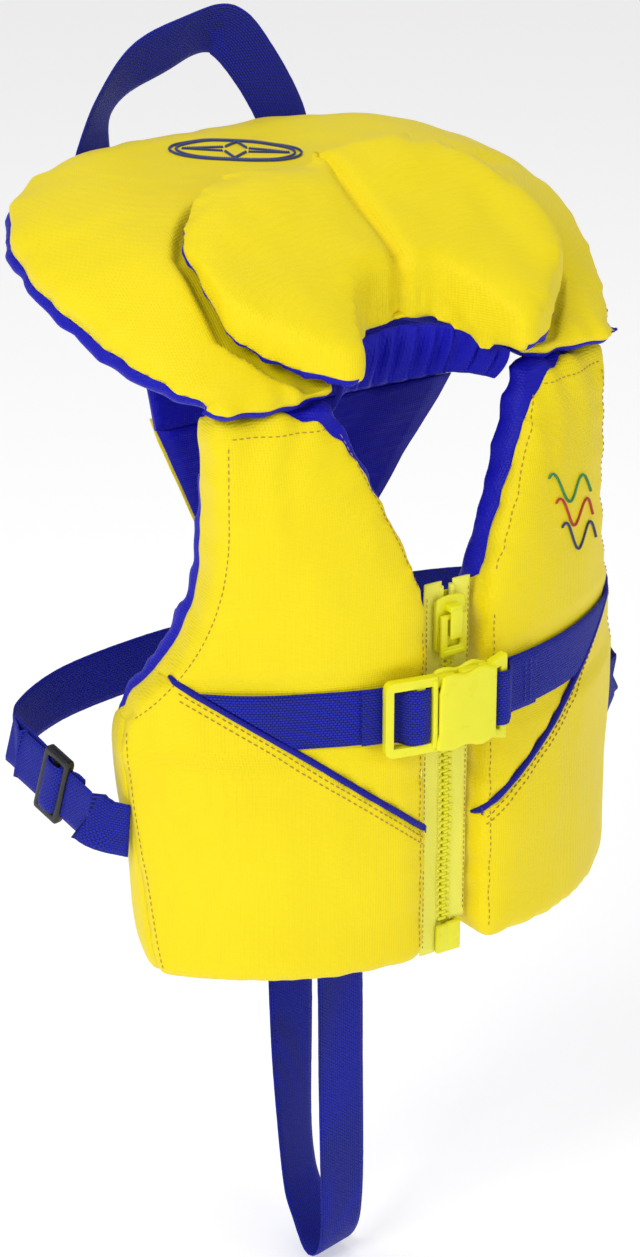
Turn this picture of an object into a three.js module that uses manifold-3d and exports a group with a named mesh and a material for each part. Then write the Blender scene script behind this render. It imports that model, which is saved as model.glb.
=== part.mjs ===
// A child's foam life jacket: two padded front halves that swing about a shared
// upright axis at the spine, a side-release belt buckle and a separating zip
// between them, a big head-support collar with a two-lobed pillow and a grab
// handle, a V-shaped back panel, side straps and a crotch loop.
//
// Millimetres, +Z up. The wearer faces -Y and the wearer's right is -X. The
// origin is the middle of the torso at the height of the shoulder seams.
import * as THREE from 'three';
import { mergeVertices } from 'three/addons/utils/BufferGeometryUtils.js';
import Module from 'manifold-3d';

const wasm = await Module();
wasm.setup();

// ---------------------------------------------------------------- dimensions
const GAP = 0.35;            // clearance between neighbouring sewn pieces
const FABRIC = 1.2;          // covers and linings
const SPINE_Y = 71;          // upright axis that both front halves swing about

const webbing = { width: 25, thick: 1.3 };

const front = {
  radius: 159,               // outer face, measured from the spine axis
  thick: 28,                 // foam and covers at the chest
  topThick: 16,              // the same at the shoulder
  neckSetBack: 15,           // how far the neck corner lies behind that radius
  setBackFrom: -90,
  shoulderZ: -0.5,
  hemZ: -257,
  centreX: 12.5,             // edge beside the zip
  neckX: 52,                 // neck corner at the shoulder
  vPointZ: -85,              // foot of the neck opening
  shoulderX: 100,
  armpitX: 131,
  armpitZ: -137,
  armholeTopZ: -40,
  hemX: 121,
  wallSplay: 8,              // degrees that the side wall runs on behind the seam
};

const piping = { dia: 2.8, outerZ: -113, innerZ: -193, innerX: 14 };
const belt = { z: -131.5, end: 13 };   // end: gap to the piping, measured along X

const zip = {
  y: -76, tapeThick: 1, toothThick: 3.4, toothHigh: 1.9, pitch: 5,
  topZ: -84, tapeInner: 3.3, webGap: 0.6, sliderLong: 24, sliderTop: -89,
  sliderHalf: 8, boxHigh: 14,
};

const buckle = {
  lift: 2.3, thick: 10, plate: 2.4, half: webbing.width / 2 + 3.5, mouth: -18, stop: 5,
  end: 10, ringEnd: 17, plugEnd: -41.5, plugBar: -27.6, slot: -20.2, ribHalf: 1.4,
  webSlack: 0.5, armHalf: 1.5, armMid: 8, armTip: 3.6, tabFrom: -6, guideFrom: 11.4,
  guideTip: -8.2,
};

const collar = {
  shoulderY: -60, shoulderZ: 2, tilt: 18.5, long: 195,
  shoulderHalf: 108, half: 134, widestAt: 100, foldAt: 118,
  neckHalf: 48, neckDeep: 62, rise: 32, drop: 14, edgeRise: 8,
};

const pillow = {
  half: 85, rearY: 29, lipY: -38, cornerX: 42, cornerY: -72, outerY: -36,
  topZ: 42, slope: 0.612, thinEdge: 5, crease: 0.6,
};

const back = {
  seamZ: -33, seamY: 32, seamHalf: 77, lean: 0.205, taper: 0.527, tipZ: -162, tipHalf: 16,
};
const backBeltZ = back.tipZ + webbing.width / 2 + 1.5;
const backBeltHalf = 26;
const straps = { seamZ: -186, sliderZ: -171, sideX: 149 };
const glide = { wide: 15, high: webbing.width + 9, thick: 6, bar: 3 };
const handle = { half: 51, high: 66, drop: 5.87 };   // drop: feet below the flap's rim
const crotch = { bottomZ: -459, frontY: 4, backY: 46 };

// ------------------------------------------------------------------ materials
const paint = (color, roughness, metalness = 0) =>
  new THREE.MeshStandardMaterial({ color, roughness, metalness });
const materials = {
  yellow: paint(0xf2e21a, 0.75),
  blue: paint(0x1818b0, 0.7),
  web: paint(0x1a1ab8, 0.8),
  foam: paint(0xf4f1e6, 0.9),
  lemon: paint(0xe8ee2c, 0.4),
  tape: paint(0xe4e030, 0.8),
  black: paint(0x101010, 0.45),
};

// -------------------------------------------------------------------- helpers
const rad = THREE.MathUtils.degToRad;
const { lerp, smoothstep } = THREE.MathUtils;
const steps = (n) => Array.from({ length: n + 1 }, (_, i) => i / n);
const at = (x, y, z) => new THREE.Vector3(x, y, z);

function solidOf(geometry) {
  const plain = geometry.clone();
  for (const name of Object.keys(plain.attributes)) {
    if (name !== 'position') plain.deleteAttribute(name);
  }
  const merged = mergeVertices(plain, 1e-4);
  return new wasm.Manifold(new wasm.Mesh({
    numProp: 3,
    vertProperties: new Float32Array(merged.attributes.position.array),
    triVerts: new Uint32Array(merged.index.array),
  }));
}

function geometryOf(solid) {
  const mesh = solid.getMesh();
  const geometry = new THREE.BufferGeometry();
  geometry.setAttribute('position', new THREE.BufferAttribute(mesh.vertProperties, 3));
  geometry.setIndex(new THREE.BufferAttribute(mesh.triVerts, 1));
  return geometry;
}

// Turns a closed surface's triangles round when they face inwards.
function facingOut(geometry) {
  const p = geometry.attributes.position;
  const index = geometry.index.array;
  const [a, b, c] = [at(), at(), at()];
  let volume = 0;
  for (let i = 0; i < index.length; i += 3) {
    a.fromBufferAttribute(p, index[i]);
    b.fromBufferAttribute(p, index[i + 1]);
    c.fromBufferAttribute(p, index[i + 2]);
    volume += a.dot(b.cross(c));
  }
  if (volume < 0) {
    for (let i = 0; i < index.length; i += 3) {
      [index[i], index[i + 1]] = [index[i + 1], index[i]];
    }
  }
  return geometry;
}

// -1 at the start of a grid's direction, 1 at its end and 0 between.
const rimSide = (t) => (t === 1 ? 1 : 0) - (t === 0 ? 1 : 0);

// A closed block whose two big faces are the grids point(u, v, 0) and point(u, v, 1).
function block(nu, nv, point) {
  const position = [];
  const index = [];
  const row = nv + 1;
  const face = (nu + 1) * row;
  for (const w of [0, 1]) {
    for (const u of steps(nu)) {
      for (const v of steps(nv)) position.push(...point(u, v, w).toArray());
    }
  }
  const quad = (a, b, c, d) => index.push(a, b, c, a, c, d);
  for (let i = 0; i < nu; i++) {
    for (let j = 0; j < nv; j++) {
      const a = i * row + j;
      quad(a, a + row, a + row + 1, a + 1);
      quad(face + a, face + a + 1, face + a + row + 1, face + a + row);
    }
  }
  for (let i = 0; i < nu; i++) {
    const [a, b] = [i * row, (i + 1) * row];
    quad(a, face + a, face + b, b);
    quad(a + nv, b + nv, face + b + nv, face + a + nv);
  }
  for (let j = 0; j < nv; j++) {
    const [a, b] = [j, nu * row + j];
    quad(a, a + 1, face + a + 1, face + a);
    quad(b, face + b, face + b + 1, b + 1);
  }
  const geometry = new THREE.BufferGeometry();
  geometry.setAttribute('position', new THREE.Float32BufferAttribute(position, 3));
  geometry.setIndex(index);
  return facingOut(geometry);
}

const box = (x0, x1, y0, y1, z0, z1) => {
  const geometry = new THREE.BoxGeometry(Math.abs(x1 - x0), Math.abs(y1 - y0), Math.abs(z1 - z0));
  return solidOf(geometry.translate((x0 + x1) / 2, (y0 + y1) / 2, (z0 + z1) / 2));
};
const join = (...solids) => solids.reduce((sum, next) => sum.add(next));

// Cylindrical place: s is the arc length along the front at the buckle's radius.
const buckleBack = front.radius + buckle.lift;
const buckleMid = buckleBack + buckle.thick / 2;
const round = (s, r, z) => {
  const angle = s / buckleMid;
  return at(r * Math.sin(angle), SPINE_Y - r * Math.cos(angle), z);
};
const arcBox = (s0, s1, r0, r1, z0, z1) => solidOf(block(
  Math.max(2, Math.ceil(Math.abs(s1 - s0) / 6)), 1,
  (u, v, w) => round(lerp(s0, s1, u), lerp(r0, r1, w), lerp(z0, z1, v)),
));

// A flat strap through stations {p, n}: n is its thickness direction, wide its width one.
function strap(stations, wide, thick = webbing.thick, width = webbing.width) {
  return block(stations.length - 1, 1, (u, v, w) => {
    const { p, n, b = wide } = stations[Math.round(u * (stations.length - 1))];
    return p.clone().addScaledVector(n, (w - 0.5) * thick).addScaledVector(b, (v - 0.5) * width);
  });
}

// Stations along a curve, with the thickness direction square to it and to wide.
function along(points, wide, count) {
  const curve = new THREE.CatmullRomCurve3(points, false, 'centripetal');
  return steps(count).map((t) => {
    const tangent = curve.getTangentAt(t);
    const n = at().crossVectors(tangent, wide).normalize();
    const b = at().crossVectors(n, tangent).normalize();
    return { p: curve.getPointAt(t), n, b };
  });
}

const model = new THREE.Group();
function add(name, shape, material, parent = model) {
  const geometry = shape.isBufferGeometry ? shape : geometryOf(shape);
  const mesh = new THREE.Mesh(geometry, material);
  mesh.name = name;
  parent.add(mesh);
  return mesh;
}

// ---------------------------------------------------------------- front halves
function innerEdge(z) {
  const t = Math.max(0, (z - front.vPointZ) / (front.shoulderZ - front.vPointZ));
  return front.centreX + (front.neckX - front.centreX) * t ** 1.15;
}

function outerEdge(z) {
  if (z < front.armpitZ) {
    const t = (front.armpitZ - z) / (front.armpitZ - front.hemZ);
    return front.armpitX + (front.hemX - front.armpitX) * t ** 1.3;
  }
  const t = Math.max(0, (front.armholeTopZ - z) / (front.armholeTopZ - front.armpitZ));
  return front.shoulderX + (front.armpitX - front.shoulderX) * t ** 2.4;
}

// A point of one front half: u from the zip or neck edge to the side, v from hem to
// shoulder, w from the back face to the front one. grow is added all round.
function frontPoint(sign, grow) {
  return (u, v, w) => {
    const zIn = lerp(front.hemZ + FABRIC, front.shoulderZ - FABRIC, v);
    const z = zIn + grow * rimSide(THREE.MathUtils.clamp(v, 0, 1));
    const high = Math.max(0, (zIn - front.setBackFrom) / (front.shoulderZ - front.setBackFrom));
    const radius = front.radius - front.neckSetBack * high ** 2 * (1 - u) - FABRIC;
    const thick = lerp(front.thick, front.topThick, high) - 2 * FABRIC;
    const r = lerp(radius - thick - grow, radius + grow, w);
    const side = rad(front.wallSplay) * (front.radius - r) / front.thick;
    const inner = Math.asin((innerEdge(zIn) + FABRIC - grow) / front.radius);
    const outer = Math.asin((outerEdge(zIn) - FABRIC + grow) / front.radius) + side;
    const angle = lerp(inner, outer, u);
    return at(sign * r * Math.sin(angle), SPINE_Y - r * Math.cos(angle), z);
  };
}

const ROWS = 12;
const COLUMNS = 6;
const seamDepth = 11;        // the cover and the lining meet this far behind the face

// The piping's height at a distance from the centre line.
function pipingZ(x) {
  const t = (x - piping.innerX) / (outerEdge(piping.outerZ) - piping.innerX);
  return lerp(piping.innerZ, piping.outerZ, Math.max(0, t) ** (1 / 1.06));
}

// Everything of the half that lies above the piping line, as a tall wedge.
function abovePiping(sign, shift) {
  return solidOf(block(10, 1, (u, v, w) => {
    const x = lerp(0, 150, u);
    const z = w > 0.5 ? 60 : pipingZ(x) + shift;
    return at(sign * x, lerp(-140, 120, v), z);
  }));
}

function frontHalf(name, sign) {
  const outer = solidOf(block(COLUMNS, ROWS, frontPoint(sign, FABRIC)));
  const inner = solidOf(block(COLUMNS, ROWS, frontPoint(sign, GAP)));
  const foam = block(COLUMNS, ROWS, frontPoint(sign, 0));
  const shell = outer.subtract(inner);
  const seam = front.radius - seamDepth;
  const sector = (r0, r1) => solidOf(block(24, 1, (u, v, w) => {
    const angle = sign * lerp(-0.1, 1.5, u);
    const r = lerp(r0, r1, w);
    return at(r * Math.sin(angle), SPINE_Y - r * Math.cos(angle), lerp(-300, 60, v));
  }));
  // The side wall below the armhole is a panel of its own.
  const armpitRow = (front.armpitZ - front.hemZ) / (front.shoulderZ - front.hemZ);
  const sideRegion = (grow) => solidOf(block(1, 10, (u, v, w) => frontPoint(sign, FABRIC)(
    lerp(0.994 - grow / 150, 1.3, u), lerp(-0.1, armpitRow + grow / 250, v), lerp(-0.4, 1.4, w))));
  const gusset = shell.intersect(sideRegion(0));
  const rest = shell.subtract(sideRegion(GAP));
  const cover = rest.intersect(sector(seam + GAP / 2, 260));
  const lining = rest.intersect(sector(40, seam - GAP / 2));

  const upper = cover.intersect(abovePiping(sign, GAP / 2));
  const lower = cover.subtract(abovePiping(sign, -GAP / 2));
  add(`${name}_foam`, foam, materials.foam);
  add(`${name}_chest_cover`, upper, materials.yellow);
  add(`${name}_lower_cover`, lower, materials.yellow);
  add(`${name}_lining`, lining, materials.blue);
  add(`${name}_side_gusset`, gusset, materials.yellow);
}

// The piping cord in the V seam, lying on the two covers.
function pipingCord(name, sign) {
  const lift = front.radius + piping.dia / 2 + GAP;
  const [x0, x1] = [piping.innerX + 2, outerEdge(piping.outerZ) - 2];
  const points = steps(12).map((t) => {
    const x = lerp(x0, x1, t);
    const angle = Math.asin(x / front.radius);
    return at(sign * lift * Math.sin(angle), SPINE_Y - lift * Math.cos(angle), pipingZ(x));
  });
  const ring = new THREE.Shape();
  ring.absarc(0, 0, piping.dia / 2, 0, 2 * Math.PI);
  add(`${name}_piping`, new THREE.ExtrudeGeometry(ring, {
    steps: 14, curveSegments: 3, extrudePath: new THREE.CatmullRomCurve3(points),
  }), materials.blue);
}

for (const [name, sign] of [['right', -1], ['left', 1]]) {
  frontHalf(name, sign);
  pipingCord(name, sign);
}

// --------------------------------------------------- webbing across the chest
// The belt lies on the panel at a constant distance from the spine axis.
const beltRadius = front.radius + GAP + webbing.thick / 2;
const upright = at(0, 0, 1);
const arcStation = (s, r, turn = 0) => {
  const angle = s / buckleMid + turn;
  return { p: round(s, r, belt.z), n: at(Math.sin(angle), -Math.cos(angle), 0) };
};
// Stations through flat (s, r) points; the thickness direction is square to the path.
function loopStations(pairs, count) {
  const curve = new THREE.CatmullRomCurve3(pairs.map(([s, r]) => at(s, r, 0)), false, 'centripetal');
  return steps(count).map((t) => {
    const { x: s, y: r } = curve.getPointAt(t);
    const dir = curve.getTangentAt(t);
    return arcStation(s, r, Math.atan2(-dir.y, dir.x));
  });
}
// The belt's sewn end lies just clear of the piping's upper end.
const beltEnd = buckleMid * Math.asin((outerEdge(piping.outerZ) - belt.end) / front.radius);

// The belt is cut to a slant that follows the piping it is sewn into.
function slantCut(solid, sign) {
  return solid.intersect(abovePiping(sign, piping.dia / 2 + GAP));
}

const bar = { high: 3.6, thick: 3.4 };
const barMid = buckleMid + 0.6;
const under = beltRadius + webbing.thick + GAP;
const over = barMid + bar.high / 2 + webbing.thick / 2 + GAP;

const rightBelt = strap(
  steps(16).map((t) => arcStation(lerp(-beltEnd - 20, -24, t), beltRadius)), upright);
add('right_belt', slantCut(solidOf(rightBelt), -1), materials.web);

// The stretch of webbing that goes round the buckle's ladder bar and slides with it.
add('right_belt_loop', strap(loopStations([
  [-50, under], [-44, under], [-38, under + 0.2], [-34, under + 2], [-31, over - 1.6],
  [-28, over], [-25, over], [-22.4, over - 1], [-21.5, barMid], [-22.4, under + 0.9],
  [-25, under], [-29, under],
], 30), upright), materials.web);

// The left belt goes round the end bar of the socket and is sewn back on itself.
const leftBelt = strap(loopStations([
  [beltEnd + 20, beltRadius], [60, beltRadius], [20, beltRadius], [15, beltRadius + 0.6],
  [12, barMid - 1.6], [11.8, barMid], [11.8, over - 1.2], [14, over + 0.5], [18, over],
  [23, under + 1.6], [27, under], [40, under],
], 44), upright);
add('left_belt', slantCut(solidOf(leftBelt), 1), materials.web);

// ---------------------------------------------------------------------- buckle
const [rBack, rFront] = [buckleBack, buckleBack + buckle.thick];
const [rIn, rOut] = [rBack + buckle.plate, rFront - buckle.plate];
const inner = { bottom: rIn + GAP, top: rOut - GAP };
const zSpan = (half) => [belt.z - half, belt.z + half];
const bothSides = (make) => join(make(1), make(-1));
const frameR = [barMid - bar.high / 2, barMid + bar.high / 2];
const windowHalf = webbing.width / 2 + buckle.webSlack;

const socket = join(
  arcBox(buckle.mouth, buckle.end, rBack, rIn, ...zSpan(buckle.half)),
  arcBox(buckle.mouth, buckle.end, rOut, rFront, ...zSpan(buckle.half)),
  arcBox(buckle.stop, buckle.end, rBack, rFront, ...zSpan(buckle.half)),
  arcBox(buckle.mouth + 6, buckle.end, rBack, rFront, ...zSpan(buckle.ribHalf)),
  arcBox(buckle.end - 1, buckle.ringEnd, ...frameR, ...zSpan(buckle.half)),
).subtract(arcBox(buckle.end, buckle.ringEnd - bar.thick, rBack - 1, rFront + 1,
  ...zSpan(windowHalf)));
add('buckle_socket', socket, materials.lemon);

const base = buckle.mouth - GAP;
const ladder = arcBox(buckle.plugEnd, base, ...frameR, ...zSpan(buckle.half + 0.5))
  .subtract(arcBox(buckle.plugEnd + bar.thick, buckle.slot, rBack - 1, rFront + 1,
    ...zSpan(windowHalf + 0.2)));
const crossBar = arcBox(buckle.plugBar, buckle.plugBar + bar.thick, ...frameR,
  ...zSpan(windowHalf + 1));
const guides = bothSides((k) => arcBox(base - 1, buckle.guideTip, inner.bottom, inner.top,
  belt.z + k * buckle.guideFrom, belt.z + k * buckle.half));
add('buckle_plug', join(ladder, crossBar, guides), materials.lemon);

// Two springy arms with press tabs that show at the socket's sides.
const prongRoot = base + GAP;
for (const [name, k] of [['upper', 1], ['lower', -1]]) {
  const zs = (a, b) => [belt.z + k * a, belt.z + k * b];
  const arm = join(
    arcBox(prongRoot, buckle.armTip, inner.bottom, inner.top,
      ...zs(buckle.armMid - buckle.armHalf, buckle.armMid + buckle.armHalf)),
    arcBox(buckle.tabFrom, buckle.armTip, inner.bottom, inner.top,
      ...zs(buckle.armMid, buckle.half + 0.8)),
  );
  add(`buckle_prong_${name}`, arm, materials.lemon);
}

// ------------------------------------------------------------------------- zip
const plate = (x0, x1, z0, z1, half, y = zip.y) => box(x0, x1, y - half, y + half, z0, z1);
const sliderFoot = zip.sliderTop - zip.sliderLong;
const boxTop = front.hemZ + zip.boxHigh;
const teethFrom = boxTop + zip.sliderLong + 3;   // a slider parked on the box is clear of them
const teethTo = sliderFoot - 1;
const tapeEdge = front.centreX * (SPINE_Y - zip.y) / front.radius - GAP;

for (const [name, sign] of [['right', -1], ['left', 1]]) {
  const foot = sign > 0 ? boxTop + GAP : front.hemZ;
  const tape = join(
    plate(sign * zip.tapeInner, sign * tapeEdge, foot, zip.topZ, zip.tapeThick / 2),
    plate(sign * (tapeEdge - 3), sign * tapeEdge, front.hemZ, foot + 1, zip.tapeThick / 2),
  );
  const bead = plate(sign * (zip.tapeInner - 1.4), sign * (zip.tapeInner - GAP),
    boxTop + GAP, zip.topZ - 1, 1);
  const teeth = [];
  const offset = sign > 0 ? zip.pitch / 2 : 0;
  for (let z = teethFrom + offset; z < teethTo - zip.toothHigh; z += zip.pitch) {
    teeth.push(plate(sign * zip.webGap, sign * (zip.tapeInner - GAP), z, z + zip.toothHigh,
      zip.toothThick / 2));
  }
  add(`${name}_zip_tape`, tape, materials.tape);
  add(`${name}_zip_teeth`, join(bead, ...teeth), materials.lemon);
}

// The pin ends the right-hand chain; the box ends the left-hand one and is open towards it.
const pinHalf = 1;
const lip = { in: pinHalf + GAP, out: 3.5 };
add('zip_pin', plate(-zip.tapeInner + GAP, -zip.webGap, front.hemZ + 2.4, boxTop - GAP, pinHalf),
  materials.lemon);
add('zip_box', join(
  plate(zip.webGap, tapeEdge - 3 - GAP, front.hemZ, boxTop, lip.out),
  box(-4.6, zip.webGap + 1, zip.y - lip.out, zip.y - lip.in, front.hemZ, boxTop),
  box(-4.6, zip.webGap + 1, zip.y + lip.in, zip.y + lip.out, front.hemZ, boxTop),
  plate(GAP - zip.tapeInner, zip.webGap + 1, front.hemZ, front.hemZ + 1.8, lip.out),
), materials.lemon);

// The slider is two plates joined by a thin divider at its top, with flanges at its sides
// that leave a slot for the tape.
const chainHalf = zip.toothThick / 2 + GAP;
const shellHalf = chainHalf + 1.5;
const flange = 1.25;
const tab = { half: 6.5, thick: 1.8, hole: 3.2, z: -96.5, y: zip.y - shellHalf - 1.9, foot: -114.4 };
const sliderPlates = bothSides((k) => join(
  box(-zip.sliderHalf, zip.sliderHalf, zip.y + k * chainHalf, zip.y + k * shellHalf,
    sliderFoot, zip.sliderTop),
  bothSides((side) => box(side * (zip.sliderHalf - 1.3), side * zip.sliderHalf,
    zip.y + k * flange, zip.y + k * shellHalf, sliderFoot, zip.sliderTop)),
));
const bridgeHalf = 1.6;
const faceY = zip.y - shellHalf;
const bridge = join(
  box(-bridgeHalf, bridgeHalf, faceY - 4.8, faceY + 0.5, tab.z + 2.6, tab.z + 4.2),
  box(-bridgeHalf, bridgeHalf, faceY - 4.8, faceY + 0.5, tab.z - 9.4, tab.z - 7.8),
  box(-bridgeHalf, bridgeHalf, faceY - 4.8, faceY - 3.6, tab.z - 9.4, tab.z + 4.2),
);
const divider = box(-zip.webGap / 2, zip.webGap / 2, faceY, zip.y + shellHalf,
  zip.sliderTop - 6, zip.sliderTop);
add('zip_slider', join(sliderPlates, divider, bridge), materials.lemon);
add('zip_pull', box(-tab.half, tab.half, tab.y - tab.thick / 2, tab.y + tab.thick / 2,
  tab.foot, tab.z + 1).subtract(box(-tab.hole, tab.hole, tab.y - 3, tab.y + 3,
  tab.z - 13.5, tab.z - 1)), materials.lemon);

// ---------------------------------------------------------------------- collar
const handleZ = collar.shoulderZ + collar.long * Math.sin(rad(collar.tilt)) - handle.drop;
const tilt = rad(collar.tilt);
// x is across, q runs back along the collar's seam plane and h is square to it.
const onCollar = (x, q, h) => at(x,
  collar.shoulderY + q * Math.cos(tilt) - h * Math.sin(tilt),
  collar.shoulderZ + q * Math.sin(tilt) + h * Math.cos(tilt));

function collarHalf(q) {
  if (q < collar.widestAt) {
    const t = (collar.widestAt - q) / collar.widestAt;
    return collar.half - (collar.half - collar.shoulderHalf) * t ** 1.6;
  }
  const t = Math.min(1, (q - collar.widestAt) / (collar.long - collar.widestAt));
  return collar.half * (1 - t ** 2) ** 0.25;
}

function collarRear(x) {
  const t = Math.min(1, Math.abs(x) / collar.half);
  return collar.widestAt + (collar.long - collar.widestAt) * (1 - t ** 4) ** 0.5;
}

function collarFade(x, q) {
  const side = Math.min(1, Math.abs(x) / Math.max(1, collarHalf(q)));
  return (1 - 0.62 * side ** 5) * (1 - 0.62 * Math.min(1, q / collar.long) ** 10);
}
const collarTop = (x, q) =>
  (collar.edgeRise + (collar.rise - collar.edgeRise) * smoothstep(q, 0, 80)) * collarFade(x, q);
const collarBottom = (x, q) =>
  -(2 + (collar.drop - 2) * smoothstep(q, 0, 60)) * collarFade(x, q);

// Horseshoe round the neck: u runs from one shoulder round to the other, v outwards.
function neckRing(grow) {
  const half = (q) => collarHalf(q) - FABRIC + grow;
  const corner = 0.375;
  return (u, v, w) => {
    const turn = Math.PI * u;
    const hole = [-(collar.neckHalf + FABRIC - grow) * Math.cos(turn),
      (collar.neckDeep + FABRIC - grow) * Math.sin(turn)];
    const cut = collar.foldAt - GAP - FABRIC + grow;
    const mirrored = u > 0.5 ? 1 - u : u;
    const side = u > 0.5 ? 1 : -1;
    const rim = mirrored <= corner
      ? [side * half(cut * mirrored / corner), cut * mirrored / corner]
      : [side * half(cut) * (0.5 - mirrored) / (0.5 - corner), cut];
    const front0 = FABRIC - grow;
    const x = lerp(hole[0], rim[0], v);
    const q = Math.max(lerp(hole[1], rim[1], v), 0) + (u === 0 || u === 1 ? front0 : 0);
    const h = w > 0.5 ? collarTop(x, q) - FABRIC + grow : collarBottom(x, q) + FABRIC - grow;
    return onCollar(x, q, h);
  };
}

function headFlap(grow) {
  const edge = collarHalf(collar.foldAt) - 1.6;
  const start = collar.foldAt + GAP + FABRIC;
  return (u, v, w) => {
    const x = (edge - FABRIC) * (2 * u - 1);
    const q = lerp(start, collarRear(x) - FABRIC, v);
    const h = w > 0.5 ? collarTop(x, q) - FABRIC + grow : collarBottom(x, q) + FABRIC - grow;
    return onCollar(x + grow * rimSide(u), q + grow * rimSide(v), h);
  };
}

// Splits a cover's shell along the seam plane into its yellow and its blue part.
function covers(shape, nu, nv) {
  const outer = solidOf(block(nu, nv, shape(FABRIC)));
  const shell = outer.subtract(solidOf(block(nu, nv, shape(GAP))));
  const slab = (h0, h1) => solidOf(block(1, 1, (u, v, w) =>
    onCollar(lerp(-300, 300, u), lerp(-200, 400, v), lerp(h0, h1, w))));
  return [shell.intersect(slab(GAP / 2, 200)), shell.intersect(slab(-200, -GAP / 2))];
}

const [ringTop, ringUnder] = covers(neckRing, 24, 3);
add('collar_foam', block(24, 3, neckRing(0)), materials.foam);
add('collar_cover', ringTop, materials.yellow);
add('collar_underside', ringUnder, materials.blue);
const FLAP_COLUMNS = 14;
const [flapTop, flapUnder] = covers(headFlap, FLAP_COLUMNS, 4);
add('head_flap_foam', block(FLAP_COLUMNS, 4, headFlap(0)), materials.foam);
add('head_flap_cover', flapTop, materials.yellow);
add('head_flap_underside', flapUnder, materials.blue);

// The grab handle stands on the rear edge of the head flap, against the foot of its wall.
const legInner = handle.half - webbing.width / 2 - 2;
const flapRim = steps(FLAP_COLUMNS).map((u) => headFlap(FABRIC)(u, 1, 0));
const rimAtLegs = flapRim.filter((p) => Math.abs(p.x) > legInner).map((p) => p.y);
const handleY = Math.max(...rimAtLegs) + GAP + webbing.thick / 2;
add('grab_handle', block(22, 1, (u, v, w) => {
  const turn = Math.PI * u;
  const r = (v - 0.5) * webbing.width;
  const spread = handle.half + r * Math.abs(Math.cos(turn));
  const x = -spread * Math.sign(Math.cos(turn)) * Math.abs(Math.cos(turn)) ** 0.6;
  const z = handleZ + (handle.high + r - 12) * Math.sin(turn) ** 0.8;
  return at(x, handleY + (w - 0.5) * webbing.thick, z);
}), materials.web);


// ---------------------------------------------------------------------- pillow
// Its underside follows the collar's top; its own top rises towards the rear.
const pillowFront = (x) => (x < pillow.cornerX
  ? lerp(pillow.lipY, pillow.cornerY, (x / pillow.cornerX) ** 3)
  : lerp(pillow.cornerY, pillow.outerY,
    Math.min(1, (x - pillow.cornerX) / (pillow.half - pillow.cornerX)) ** 1.6));
const pillowRear = (x) => pillow.rearY - 34 * (x / pillow.half) ** 4;

function collarTopAt(x, y) {
  let q = (y - collar.shoulderY) / Math.cos(tilt);
  for (let i = 0; i < 6; i++) {
    q = (y - collar.shoulderY + collarTop(x, Math.max(q, 0)) * Math.sin(tilt)) / Math.cos(tilt);
  }
  return onCollar(x, q, collarTop(x, Math.max(q, 0))).z;
}

function pillowLobe(sign, grow) {
  return (u, v, w) => {
    const x = lerp(pillow.crease + FABRIC, pillow.half - FABRIC, u);
    const y = lerp(pillowFront(x) + FABRIC, pillowRear(x) - FABRIC, v);
    const low = collarTopAt(x, y) + 2 * GAP + FABRIC;
    const swell = (1 - (2 * u - 1) ** 6) * (1 - (2 * v - 1) ** 6);
    const plane = pillow.topZ + pillow.slope * (y - pillow.cornerY - 30);
    const high = Math.max(lerp(low + pillow.thinEdge, plane, swell), low + pillow.thinEdge);
    const z = w > 0.5 ? high - FABRIC + grow : low - grow;
    return at(sign * (x + grow * rimSide(u)), y + grow * rimSide(v), z);
  };
}

for (const [name, sign] of [['right', -1], ['left', 1]]) {
  const outer = solidOf(block(6, 6, pillowLobe(sign, FABRIC)));
  const shell = outer.subtract(solidOf(block(6, 6, pillowLobe(sign, GAP))));
  const seamAt = (shift, low) => solidOf(block(6, 6, (u, v, w) => {
    const p = pillowLobe(sign, 0)(u, v, 0);
    const spread = at(sign * 12 * rimSide(u), 12 * rimSide(v), 0);
    return p.add(spread).setZ(w > 0.5 ? p.z + shift : p.z + low);
  }));
  add(`pillow_${name}_foam`, block(6, 6, pillowLobe(sign, 0)), materials.foam);
  add(`pillow_${name}_cover`, shell.subtract(seamAt(GAP, -20)), materials.yellow);
  add(`pillow_${name}_underside`, shell.intersect(seamAt(0, -20)), materials.blue);
}

// ------------------------------------------------------------------------ back
// Two layers of cloth that taper to the tip, with the back belt between them.
const backHalf = (z) => Math.max(back.tipHalf, back.seamHalf - back.taper * (back.seamZ - z));
const tunnelTop = backBeltZ + webbing.width / 2 + 4;
const backY = (z) => back.seamY + back.lean * (back.seamZ - Math.max(z, tunnelTop));
const tunnel = (z) => webbing.thick * smoothstep(-z, -tunnelTop - 14, -tunnelTop);
const panel = (y0, thick, top, foot, half) => block(2, 12, (u, v, w) => {
  const z = lerp(foot, top, v);
  return at((2 * u - 1) * half(z), y0(z) + w * thick, z);
});
add('back_panel_lining', panel(backY, 1, back.seamZ - GAP, back.tipZ, backHalf), materials.blue);
add('back_panel_cover', panel((z) => backY(z) + 1 + GAP + tunnel(z) + GAP * (tunnel(z) > 0),
  1, back.seamZ - GAP, back.tipZ, backHalf), materials.yellow);

// The yoke joins the back panel to the underside of the collar.
add('back_yoke', block(8, 2, (u, v, w) => {
  const x = (2 * u - 1) * lerp(back.seamHalf, back.seamHalf + 8, v);
  const y = back.seamY + w * (2 + GAP);
  const q = (y - collar.shoulderY) / Math.cos(tilt) + collarBottom(x, 95) * Math.tan(tilt);
  const top = onCollar(x, q, collarBottom(x, q)).z - 2 * GAP;
  return at(x, y, lerp(back.seamZ, top, v));
}), materials.blue);

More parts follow.
